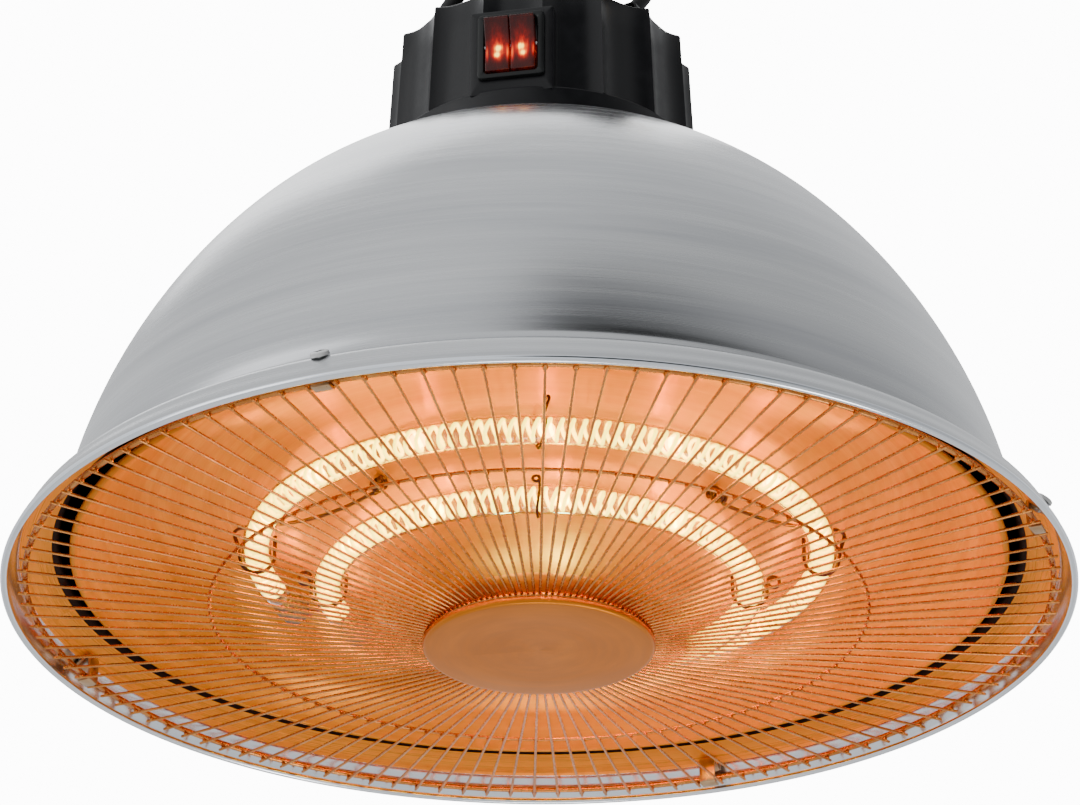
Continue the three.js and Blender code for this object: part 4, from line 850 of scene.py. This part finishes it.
def hairpin(last, rise, tangent):
    """The outer front support's end: a long narrow loop."""
    way = (rise + tangent * (0.45 * rise.length)).normalized()
    foot = last + rise * 0.25
    rows = ((0, 0), (3.6, 0), (6.6, 0.1), (7.2, -0.5), (6.4, -1.1), (4.0, -0.9), (2.6, -0.3))
    return [foot + way * far + tangent * over for far, over in rows]


def round_curl(middle, radius, shrink, start, steps, first, second, third, drift):
    """A loop of 1.15 turns in the plane of first and second that drifts along third."""
    curl = []
    for k in range(1, steps + 1):
        a = start + 1.15 * TAU * k / steps
        r = radius * (1 - shrink * k / steps)
        round_it = first * (r * math.cos(a)) + second * (r * math.sin(a))
        curl.append(middle + round_it + third * (drift * k))
    return curl


def spring_end(begin, stop):
    """The wire's way under the cone to a small coil spring."""
    heading = (stop - begin).normalized()
    sideways = UP.cross(heading)
    sag = (SPRING_R + SUPPORT_R + GAP) / math.cos(CONE_SLOPE)

    def below_cone(p, drop):
        return Vector((p.x, p.y, cone_height(math.hypot(p.x, p.y)) - sag - drop))

    wire = [below_cone(begin.lerp(stop, share), SPRING_R) for share in (0.15, 0.35, 0.6, 0.85)]
    for k in range(SPRING_TURNS * SPRING_STEPS + 1):
        a = k / SPRING_STEPS * TAU
        p = below_cone(stop + heading * (k / SPRING_STEPS * SPRING_PITCH), SPRING_R * math.cos(a))
        wire.append(p + sideways * (SPRING_R * math.sin(a)))
    return wire


for name, (circle, z, _) in LAMPS.items():
    for side, angle in SUPPORTS.items():
        reach = TUBE_R + GAP + SUPPORT_R
        turns = [rad(180 + 15 * i) for i in range(13)]
        hook = [(circle + reach * math.cos(a), z + reach * math.sin(a)) for a in turns]
        outward, tangent = (spin(angle).to_3x3() @ Vector(v) for v in ((1, 0, 0), (0, 1, 0)))
        line = []
        for k, (r, h) in enumerate([(circle - reach, cone_height(circle - reach) - 1.3), *hook]):
            share = k / len(hook)
            lean = -2.2 + 4.4 * share if name == "outer" else 0.9 * math.cos(1.5 * math.pi * share)
            line.append(polar(r, angle, h) + tangent * (lean if side == "front" else 0))
        eye_circle = circle + reach + 2.6
        eye_place = polar(eye_circle, angle, cone_height(circle) - reach / 2)
        last, rise = line[-1], eye_place - line[-1]
        if side == "front" and name == "outer":
            line += hairpin(last, rise, tangent)
        elif side == "front":
            line += round_curl(last + rise * 0.5 - tangent * 1.3, 1.3, 0, 0, 16,
                               tangent, UP, outward, 0.07)
        elif name == "outer":
            line += [last + rise * 0.5, eye_place]
            line += spring_end(polar(eye_circle, angle, 0), polar(92, angle + SPRING_TURN[side], 0))
        else:
            line += round_curl(last + rise * 0.55 + outward * 1.2, 2.6, 0.12, rad(-200), 18,
                               outward, UP, tangent, 0.11)
        tube(smooth_line(line, 4), FRONT_R if side == "front" else SUPPORT_R, 10).make(
            f"{name}_wire_{side}", [spring_mat], "spring_wire", f"{name}_support_{side}", smooth=80)


# Guard: spokes, their collar and welds, two rings and the pressed disc

OUTER_RING, OUTER_RING_Z, OUTER_WIRE = 203.0, 2.3, 1.2
MID_RING, MID_RING_Z, MID_WIRE = 130.59, -2.6, 0.7
SPOKES, SPOKE_R, SPOKE_END = 120, 0.6, 205.5
SPOKE_HUB_Z = -14.8 + GAP + SPOKE_R + 0.1
SPOKE_MID_Z = MID_RING_Z - MID_WIRE - GAP - SPOKE_R
SPOKE_OUTER_Z = OUTER_RING_Z - OUTER_WIRE - GAP - SPOKE_R
slope = (SPOKE_OUTER_Z - SPOKE_MID_Z) / (OUTER_RING - MID_RING)
spoke_end_z = SPOKE_OUTER_Z + slope * (SPOKE_END - OUTER_RING)
spoke_line = [(41.9, SPOKE_HUB_Z), (86, (SPOKE_HUB_Z + SPOKE_MID_Z) / 2), (MID_RING, SPOKE_MID_Z),
              (170, SPOKE_MID_Z + slope * (170 - MID_RING)), (SPOKE_END, spoke_end_z)]
welds = ((SPOKE_END, spoke_end_z, ball(0.61, 5, 10)), (44.2, -13.9, ball(1.0, 5, 8)),
         (MID_RING, SPOKE_MID_Z + 0.55, ball(0.95, 5, 8)),
         (OUTER_RING, SPOKE_OUTER_Z + 0.6, ball(1.15, 5, 8)))
COLLAR = [(39.1, -14.3), (39.3, -14.5), (44.9, -14.5), (45.1, -14.3), (45.1, -12.9), (44.9, -12.7),
          (39.3, -12.7), (39.1, -12.9)]
guard = lathe(COLLAR, SPOKES, CLIP_TURN)
for i in range(SPOKES):
    a = CLIP_TURN + (i + 0.5) / SPOKES * TAU
    guard.merge(tube(smooth_line([polar(r, a, z) for r, z in spoke_line], 3), SPOKE_R, 10))
    for radius, height, weld in welds:
        guard.merge(weld, shift(*polar(radius, a, height)))
guard.make("guard_wires", [wire_glow_paint], "guard_chrome", "guard_spokes", smooth=50)


def wire_ring(name, node, circle, wire, z, steps):
    """A closed ring of wire with the short swelling of its butt weld."""
    ring = tube([polar(circle, i * TAU / steps, z) for i in range(steps)], wire, 14, closed=True)
    ring.merge(tube([polar(circle, rad(83) + i * 0.02, z) for i in range(4)], wire * 1.18, 12))
    ring.make(name, [wire_glow_paint], "guard_chrome", node, smooth=60)


wire_ring("guard_ring_outside", "guard_outer_ring", OUTER_RING, OUTER_WIRE, OUTER_RING_Z, 240)
wire_ring("guard_ring_middle", "guard_mid_ring", MID_RING, MID_WIRE, MID_RING_Z, 200)

DISC = [(0, -17.7), (30, -17.7), (44.2, -17.7), (45.2, -17.55), (45.8, -17.05), (46.0, -16.3),
        (46.0, -15.2), (45.85, -14.85), (45.55, -14.75), (45.25, -14.85), (45.1, -15.2),
        (45.1, -16.2), (44.6, -16.7), (43.8, -16.8), (30, -16.8), (0, -16.8)]
lathe(DISC, 160, closed=False).make(
    "guard_pressed_disc", [disc_glow_paint], "guard_chrome", "guard_disc", smooth=50)


# Guard clips and screws

SCREW_TILT, CLIP_THICK, CLIP_HALF_WIDTH = rad(38), 1.2, 3.5
SCREW_CIRCLE, SCREW_Z = RIM - LIP_W + 0.69 * LIP_W, 0.605 * LIP_H
CLIP_DROP = SHEET + 1.3 + CLIP_THICK / 2
out, up = math.sin(SCREW_TILT), math.cos(SCREW_TILT)
plate_r, plate_z = SCREW_CIRCLE - CLIP_DROP * out, SCREW_Z - CLIP_DROP * up
leg = OUTER_RING - OUTER_WIRE - SPOKE_R - CLIP_THICK / 2
bend_z = plate_z + (plate_r - leg) * out / up
clip_line = [(plate_r + 3 * up, plate_z - 3 * out), (leg + 1.0, bend_z - 0.8),
             (leg + 0.3, bend_z - 0.9), (leg, bend_z - 1.6), (leg, SPOKE_OUTER_Z + 1.1),
             (leg + 0.3, SPOKE_OUTER_Z + 0.35), (leg + 1.0, SPOKE_OUTER_Z),
             (leg + 5, SPOKE_OUTER_Z)]


def cross_head(shape, radius, low, high, matrix):
    """A round screw head with a cross recess, drawn as a thin dark cross: painted shade."""
    top = [(0, high - 0.1), (radius * 0.52, high), (radius * 0.8, high - 0.12),
           (radius * 0.96, high - 0.5), (radius, low + 0.2), (radius * 0.97, low), (0, low)]
    shape.merge(lathe(top, 32, closed=False), matrix)
    arm, half = radius * 0.55, radius * 0.09
    for turn in (0, 90):
        cross = block((-arm, -half, high - 0.2), (arm, half, high + 0.05))
        shape.merge(cross, matrix @ spin(rad(turn)), kind=1)


clip_outline = beside(clip_line, -CLIP_THICK / 2) + beside(clip_line, CLIP_THICK / 2)[::-1]
clip_sides = [[(r, y, h) for r, h in clip_outline] for y in (-CLIP_HALF_WIDTH, CLIP_HALF_WIDTH)]
for i in range(1, 5):
    place = spin(CLIP_TURN + (i - 1) * TAU / 4)
    clip = loft(clip_sides, closed=False, cap_ends=True).moved(place)
    clip.make(f"guard_clip_bent_{i}", [clip_mat], "zinc_steel", f"guard_clip_{i}",
              bevel=(0.28, 2, 40))
    stem = place @ shift(SCREW_CIRCLE, 0, SCREW_Z) @ Matrix.Rotation(SCREW_TILT, 4, "Y")
    shank = [(0, -4.5), (1.2, -4.5), (1.6, -4.0), (1.6, 0.6), (0, 0.6)]
    screw = lathe(shank, 20, closed=False).moved(stem)
    for z in (-3.7, -2.9, -2.1):
        screw.merge(lathe([(1.55, z), (1.9, z + 0.2), (1.55, z + 0.4)], 20), stem)
    cross_head(screw, 3.6, 0.3, 2.1, stem)
    screw.make(f"guard_screw_turned_{i}", [zinc_mat, recess_shade_paint], "zinc_steel", f"guard_screw_{i}")


# Cap: plain band, concave flutes with sharp arrises, flat boss with rounded edges

CAP_BORE = 63.9
CAP_FOOT = DOME_Z + math.sqrt(DOME_R**2 - CAP_BORE**2) + GAP
CAP_BAND, BASE_R, TOP_R = 204.0, 66.4, 63.6
FLUTES, FLUTE_STEPS, FLUTE_DEPTH = 16, 18, 4.4


def cap_radius(z):
    return BASE_R + (z - CAP_FOOT) / (CAP_TOP - CAP_FOOT) * (TOP_R - BASE_R)


def cap_angle(i):
    return rad(-90) + (i / FLUTE_STEPS + 0.5) / FLUTES * TAU


def flute_ring(z, depth, inset):
    ring = []
    for i in range(FLUTES * FLUTE_STEPS):
        share = (i % FLUTE_STEPS) / FLUTE_STEPS
        hollow = depth * (1 - abs(2 * share - 1) ** 3)
        ring.append(polar(cap_radius(z) - inset - hollow, cap_angle(i), z))
    return ring


def round_ring(radius, z):
    return [polar(radius, cap_angle(i), z) for i in range(FLUTES * FLUTE_STEPS)]


rings = [round_ring(cap_radius(CAP_FOOT) - 0.8, CAP_FOOT),
         round_ring(cap_radius(CAP_FOOT) - 0.2, CAP_FOOT + 0.25),
         round_ring(cap_radius(CAP_FOOT + 0.8), CAP_FOOT + 0.8)]
rings += [flute_ring(z, 0, inset) for z, inset in ((CAP_BAND - 0.5, 0), (CAP_BAND - 0.1, 0.25))]
flute_heights = [CAP_BAND + 0.1, CAP_BAND + 0.8]
flute_heights += [CAP_BAND + (CAP_TOP - 1.6 - CAP_BAND) * share for share in (0.25, 0.5, 0.75)]
rings += [flute_ring(z, FLUTE_DEPTH, 0) for z in [*flute_heights, CAP_TOP - 1.7]]
rings += [flute_ring(CAP_TOP - down, FLUTE_DEPTH, inset)
          for down, inset in ((0.9, 0.25), (0.35, 0.8), (0, 1.7))]
rings.append(flute_ring(CAP_TOP, 2.0, 12))
rings += [round_ring(radius, z) for radius, z in (
    (30, CAP_TOP), (4.4, CAP_TOP), (4.4, CAP_TOP - 2.5), (50, CAP_TOP - 2.5), (56.7, CAP_TOP - 3.2),
    (56.7, CAP_BAND - 2.5), (63.0, CAP_BAND - 3.0), (CAP_BORE, CAP_FOOT))]
loft(rings).make("fluted_cap", [cap_mat], "cap_plastic", "top_cap", smooth=28)

SWITCH_Z, BOSS_Z, BOSS_FACE = 224.5, 222.7, 64.6
BEZEL_BACK = BOSS_FACE + GAP
BEZEL_FACE = BEZEL_BACK + 2.0
PIVOT_OUT, FLOOR_OUT, REAR_OUT = BEZEL_FACE - 1.7, BEZEL_FACE - 11, BEZEL_FACE - 17


def front_loops(z, *rows):
    """Upright rectangles with round corners: width, height, corner, distance to the front."""
    return [[Vector((u, -out, z + v)) for u, v in rounded_loop(width, tall, corner)]
            for width, tall, corner, out in rows]


boss = front_loops(BOSS_Z, (35, 40.6, 0.8, 56.9), (35, 40.6, 0.8, BOSS_FACE - 0.7),
                   (34.6, 40.2, 0.8, BOSS_FACE - 0.2), (33.9, 39.5, 0.8, BOSS_FACE))
boss += front_loops(SWITCH_Z, (25.6, 28.1, 0.4, BOSS_FACE), (25.6, 28.1, 0.4, 47.0))
loft(boss, closed=False).make("switch_boss", [cap_mat], "cap_plastic", "top_cap")


# Switch: bezel, body, two lit rockers, their lamps and the pin

BEZEL, BODY = (28, 31, 2.0), (25, 27.5, 0.8)
housing = loft(front_loops(
    SWITCH_Z, (*BEZEL, BEZEL_BACK), (*BEZEL, BEZEL_FACE - 0.7), (27.6, 30.6, 1.9, BEZEL_FACE - 0.2),
    (26.9, 29.9, 1.7, BEZEL_FACE), (23.0, 27.3, 1.5, BEZEL_FACE - 0.05),
    (22.2, 26.5, 1.5, BEZEL_FACE - 0.4), (21.8, 26.1, 1.5, BEZEL_FACE - 1.2),
    (21.6, 26.0, 1.4, FLOOR_OUT), (2, 2, 0.4, FLOOR_OUT)), closed=False)
back = front_loops(SWITCH_Z, (*BEZEL, BEZEL_BACK), (*BODY, BEZEL_BACK), (*BODY, REAR_OUT))
back = loft(back, closed=False)
corners = len(back.verts) // 3
back.faces.append([2 * corners + i for i in range(corners)])
back.kinds.append(0)
housing.merge(back)
for x in (-7.5, 7.5):
    for z in (SWITCH_Z - 8, SWITCH_Z, SWITCH_Z + 8):
        housing.merge(block((x - 0.4, -REAR_OUT, z - 2.4), (x + 0.4, 6 - REAR_OUT, z + 2.4)))
housing.make("switch_body", [bezel_mat], "switch_plastic", "switch_housing")

PIN_HALF = 11.9
pin = lathe([(0, -PIN_HALF), (0.9, -PIN_HALF), (1, 0.1 - PIN_HALF), (1, PIN_HALF - 0.1),
             (0.9, PIN_HALF), (0, PIN_HALF)], 24, closed=False)
pin = pin.moved(shift(0, -PIVOT_OUT, SWITCH_Z) @ Matrix.Rotation(rad(90), 4, "Y"))
pin.make("rocker_axle", [zinc_mat], "zinc_steel", "rocker_pin")

ROCKER_W, ROCKER_APART, ROCKER_HALF, TILT = 10.2, 0.4, 12, rad(10.5)
half = [(2.4, -3.2), (3.6, -1.4), (ROCKER_HALF, 1.2),
        (ROCKER_HALF, 2.5 + ROCKER_HALF * math.tan(TILT))]
upright = half[:]
for i in range(1, 12):
    t = ROCKER_HALF * (1 - i / 6)
    swell = 0.18 * math.cos(t / ROCKER_HALF * math.pi / 2)
    upright.append((t, 2.5 + abs(t) * math.tan(TILT) + swell))
upright += [(-t, o) for t, o in reversed(half)]
c, s = math.cos(TILT), math.sin(TILT)
rocker_outline = [(t * c - o * s, t * s + o * c) for t, o in upright]
NEON = [(0, -3.5), (0.9, -3.4), (1.45, -2.9), (1.6, -2.2),
        (1.6, 2.2), (1.45, 2.9), (0.9, 3.4), (0, 3.5)]
for side, x in (("left", -(ROCKER_W + ROCKER_APART) / 2), ("right", (ROCKER_W + ROCKER_APART) / 2)):
    loops = [[(x + w, -(PIVOT_OUT + o), SWITCH_Z + t) for t, o in rocker_outline]
             for w in (-ROCKER_W / 2, ROCKER_W / 2)]
    loft(loops, closed=False, cap_ends=True).make(
        f"{side}_rocker_lens", [red_mat], "rocker_red", f"rocker_{side}",
        body=f"{side}_rocker", bevel=(0.45, 3, 25))
    bulb = lathe(NEON, 20, closed=False).moved(shift(x, -(FLOOR_OUT + GAP + 1.6), SWITCH_Z - 6.6))
    bulb.make(f"{side}_neon_lamp", [neon_mat], "neon_glass", f"neon_{side}", smooth=60)


# Suspension: eye bolt with collar, washer, nuts and the hanging ring

ROD_FOOT = CAP_TOP + 2.2
EYE_R, EYE_BAR = 13, 3.5
EYE_Z = ROD_FOOT + 3 + 2 + EYE_R


def threaded(start, stop):
    """The profile of a threaded length of the rod."""
    rows = []
    z = start
    while z < stop:
        rows += [(4.0, z), (3.55, z + 0.6)]
        z += 1.25
    return rows


turns = [i * TAU / 72 for i in range(72)]
eye = [(EYE_R * math.cos(a), 0, EYE_Z + EYE_R * math.sin(a)) for a in turns]
eye = tube(eye, EYE_BAR, 20, closed=True)
collar = ((0, 0), (8.6, 0), (9.0, 0.4), (9.0, 2.3), (8.4, 3.0), (5.4, 3.3), (4.3, 4.2), (4.0, 6.2),
          (0, 6.6))
eye.merge(lathe([(r, ROD_FOOT + z) for r, z in collar], 48, closed=False))
rod = [(0, -12.3), (3.3, -12.3), (3.9, -11.6), *threaded(-11.4, 24), (4.0, 25), (4.0, 180),
       *threaded(182.0, ROD_FOOT - 1.5), (3.9, ROD_FOOT - 0.5), (3.9, ROD_FOOT + 0.5),
       (0, ROD_FOOT + 0.5)]
eye.merge(lathe(rod, 28, closed=False))
eye.make("eye_bolt_forged", [zinc_mat], "zinc_steel", "eye_bolt", smooth=40)

washer = ((ROD_HOLE, 0.3), (10.6, 0.3), (11, 0.6), (11, 1.6), (10.6, 1.9), (ROD_HOLE, 1.9))
lathe([(r, CAP_TOP + z) for r, z in washer], 56).make(
    "rod_flat_washer", [zinc_mat], "zinc_steel", "rod_washer")


def hex_nut(name, node, low, high, across=7.4, hole=4.2, chamfer=0.55):
    """A hexagon nut with its corners chamfered to a cone at both faces."""
    rows = []
    for z, cut in ((low, chamfer), (low + chamfer, 0.0), (high - chamfer, 0.0), (high, chamfer)):
        row = []
        for i in range(72):
            a = i * TAU / 72
            flat_r = across * math.cos(rad(30)) / math.cos((a + rad(30)) % rad(60) - rad(30))
            row.append(polar(min(flat_r, across - cut * 1.6), a, z))
        rows.append(row)
    rows += [[polar(hole, i * TAU / 72, z) for i in range(72)] for z in (high, low)]
    loft(rows).make(name, [zinc_mat], "zinc_steel", node, smooth=30)


SHADE_NUT_TOP = DOME_Z - GAP + (DOME_R - SHEET) * math.cos(rad(90 / 7))
hex_nut("hub_nut", "rod_nut_hub", -10.3, -4.3)
hex_nut("shade_nut", "rod_nut_shade", SHADE_NUT_TOP - 6, SHADE_NUT_TOP)

RING_BAR, RING_R, RING_STRAIGHT = 3.0, 13, 7
RING_MID = HANG + RING_BAR - RING_R - RING_STRAIGHT
oval = []
for half_turn, lift in ((0, RING_STRAIGHT), (math.pi, -RING_STRAIGHT)):
    for i in range(37):
        a = half_turn + math.pi * i / 36
        oval.append(Vector((0, RING_R * math.cos(a), RING_MID + lift + RING_R * math.sin(a))))
ring = tube(oval, RING_BAR, 18, closed=True)
weld = [Vector((0, RING_R, RING_MID + z)) for z in (-1.4, -0.7, 0.7, 1.4)]
ring.merge(tube(weld, [RING_BAR, 3.22, 3.22, RING_BAR], 18))
ring.make("oval_hanging_ring", [zinc_mat], "zinc_steel", "hanging_ring", body="ring", smooth=60)


# Cord gland: flange, ball and a ribbed tapered sleeve

gland_at = shift(*over_cap(GLAND_PLACE)) @ spin(TURN)
FLANGE = [(3.5, -8), (4.3, -8), (4.4, -7.6), (4.4, 0.3), (5.3, 0.3), (5.6, 0.6), (5.6, 2.9),
          (5.3, 3.3), (5.2, 3.3), (5.2, 6.0), (3.5, 6.0)]
gland = lathe(FLANGE, 36).moved(gland_at)
gland.merge(ball(5.2, 12, 32), gland_at @ shift(0, 0, GLAND_LOW))
sleeve = [(3.5, 0)]
for i in range(6):
    z = 1.2 + i * 2.6
    r = 5.2 - 0.8 * z / 17
    sleeve += [(r - 0.5, z), (r, z + 0.35), (r, z + 1.45), (r - 0.5, z + 1.8)]
sleeve += [(4.4, 16.9), (4.0, 17.2), (3.5, 17.2)]
gland.merge(lathe(sleeve, 36), gland_at @ shift(0, 0, GLAND_LOW) @ Matrix.Rotation(LEAN, 4, "Y"))
gland.make("ribbed_gland", [gland_mat], "cap_plastic", "cord_gland")


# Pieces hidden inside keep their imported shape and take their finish

HIDDEN = {"terminal_block": ceramic_mat, "stiffener_plate": zinc_mat, "gland_nut": gland_mat}
for node, material in HIDDEN.items():
    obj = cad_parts[node]
    obj.data.materials.clear()
    obj.data.materials.append(material)


# Light: a pale room, big soft panels, and the lamps' own warm light inside the shade

world = bpy.data.worlds.new("pale_room")
scene.world = world
room = Nodes(world)
sky = room.nodes["Background"]
place = room.node("ShaderNodeTexCoord").outputs["Generated"]


def toward(direction, low, high, near, far):
    """A value over the room's walls: near in the direction and far away from it."""
    dot = room.node("ShaderNodeVectorMath", operation="DOT_PRODUCT")
    room.link(place, dot.inputs[0])
    dot.inputs[1].default_value = Vector(direction).normalized()
    span = room.node("ShaderNodeMapRange", interpolation_type="SMOOTHSTEP", **{
        "From Min": low, "From Max": high, "To Min": far, "To Max": near})
    room.link(dot.outputs["Value"], span.inputs["Value"])
    return span.outputs["Result"]


# The room's one dark part, which the dome mirrors as a dark patch, is a product of four edges

EDGES = (((0.996, 0.087, 0), -0.06, 0.12, 1, 0), ((0, 0, 1), 0.80, 0.97, 0, 1),
         ((0.10, -0.995, 0), 0.15, 0.75, 1, 0), ((0, 0, 1), 0.15, 0.38, 1, 0))
dark_part = toward(*EDGES[0])
for edge in EDGES[1:]:
    dark_part = room.calc("MULTIPLY", dark_part, toward(*edge))
rest_of_room = room.calc("MULTIPLY_ADD", dark_part, -1.0, 1.0)
dimmer_right = toward((0.95, -0.2, 0.3), 0.2, 1.0, 0.50, 1.0)
room.link(room.calc("MULTIPLY", rest_of_room, dimmer_right), sky.inputs["Strength"])
sky.inputs["Color"].default_value = (0.97, 0.985, 1.0, 1)
seen = room.node("ShaderNodeBackground", Strength=16.0)
path = room.node("ShaderNodeLightPath")
both = room.node("ShaderNodeMixShader")
mixed = (path.outputs["Is Camera Ray"], sky.outputs[0], seen.outputs[0])
for output, socket in zip(mixed, both.inputs):
    room.link(output, socket)
room.link(both.outputs[0], room.nodes["World Output"].inputs["Surface"])


def area(name, place, aim_z, width, depth, power):
    """A soft panel at a place in metres, aimed at the axis at the height aim_z."""
    data = bpy.data.lights.new(name, "AREA")
    data.shape = "RECTANGLE"
    data.size, data.size_y, data.energy = width, depth, power
    obj = bpy.data.objects.new(name, data)
    scene.collection.objects.link(obj)
    obj.location = place
    obj.rotation_euler = (Vector((0, 0, aim_z)) - Vector(place)).to_track_quat("-Z", "Y").to_euler()
    return obj


area("panel_left", (-1.6, -1.3, 0.4), -0.2, 1.2, 1.6, 8)
area("panel_back", (-0.5, 1.1, 1.5), -0.2, 1.4, 1.2, 8)
area("panel_low_right", (0.65, 0.30, -1.6), -0.3, 0.34, 0.34, 3.5).visible_camera = False
area("panel_low", (-0.03, 0.07, -1.6), -0.3, 0.26, 0.26, 1.5).visible_camera = False


def glow(name, place, energy, color):
    """A small point light inside the shade, left out of mirror images."""
    data = bpy.data.lights.new(name, "POINT")
    data.energy, data.color, data.shadow_soft_size = energy, color, 0.004
    obj = bpy.data.objects.new(name, data)
    obj.location = at(*place)
    obj.visible_glossy = False
    scene.collection.objects.link(obj)


# Each lamp: number of lights, least power, more of it to the back, colour

LAMP_LIGHT = {"outer": (12, 0.012, 0.026, (1.0, 0.30, 0.003)),
              "inner": (9, 0.050, 0.014, (1.0, 0.46, 0.003))}
for name, (count, least, more, color) in LAMP_LIGHT.items():
    circle, z, _ = LAMPS[name]
    for i in range(count):
        a = LAMP_START + LAMP_SWEEP * (i + 0.5) / count
        energy = least + more * (1 + math.sin(a)) ** 1.5
        glow(f"{name}_glow_{i}", polar(circle, a, z), energy, color)

# The inner lamp's two bright reflections on the cone, beside the hub

for i, (angle, radius, energy) in enumerate(((-69, 53, 0.050), (-94, 50, 0.018))):
    below_cone = polar(radius, rad(angle), cone_height(radius) - 8)
    glow(f"cone_glint_{i}", below_cone, energy, (0.6, 1.0, 0.45))


# Floor well below the heater

FLOOR_HALF, FLOOR_Z = 6, -1.9
floor_mat = Mat("floor", (0.86, 0.86, 0.85), 0.7)
floor_mat.color(floor_mat.tones(floor_mat.coords(), 6, 4, [
    (0.3, (0.84, 0.84, 0.83)), (0.7, (0.88, 0.88, 0.87))]))
floor_corners = [(x * FLOOR_HALF, y * FLOOR_HALF, FLOOR_Z)
                 for x, y in ((-1, -1), (1, -1), (1, 1), (-1, 1))]
floor = new_object("floor", floor_corners, [[0, 1, 2, 3]])
floor.data.materials.append(floor_mat.m)
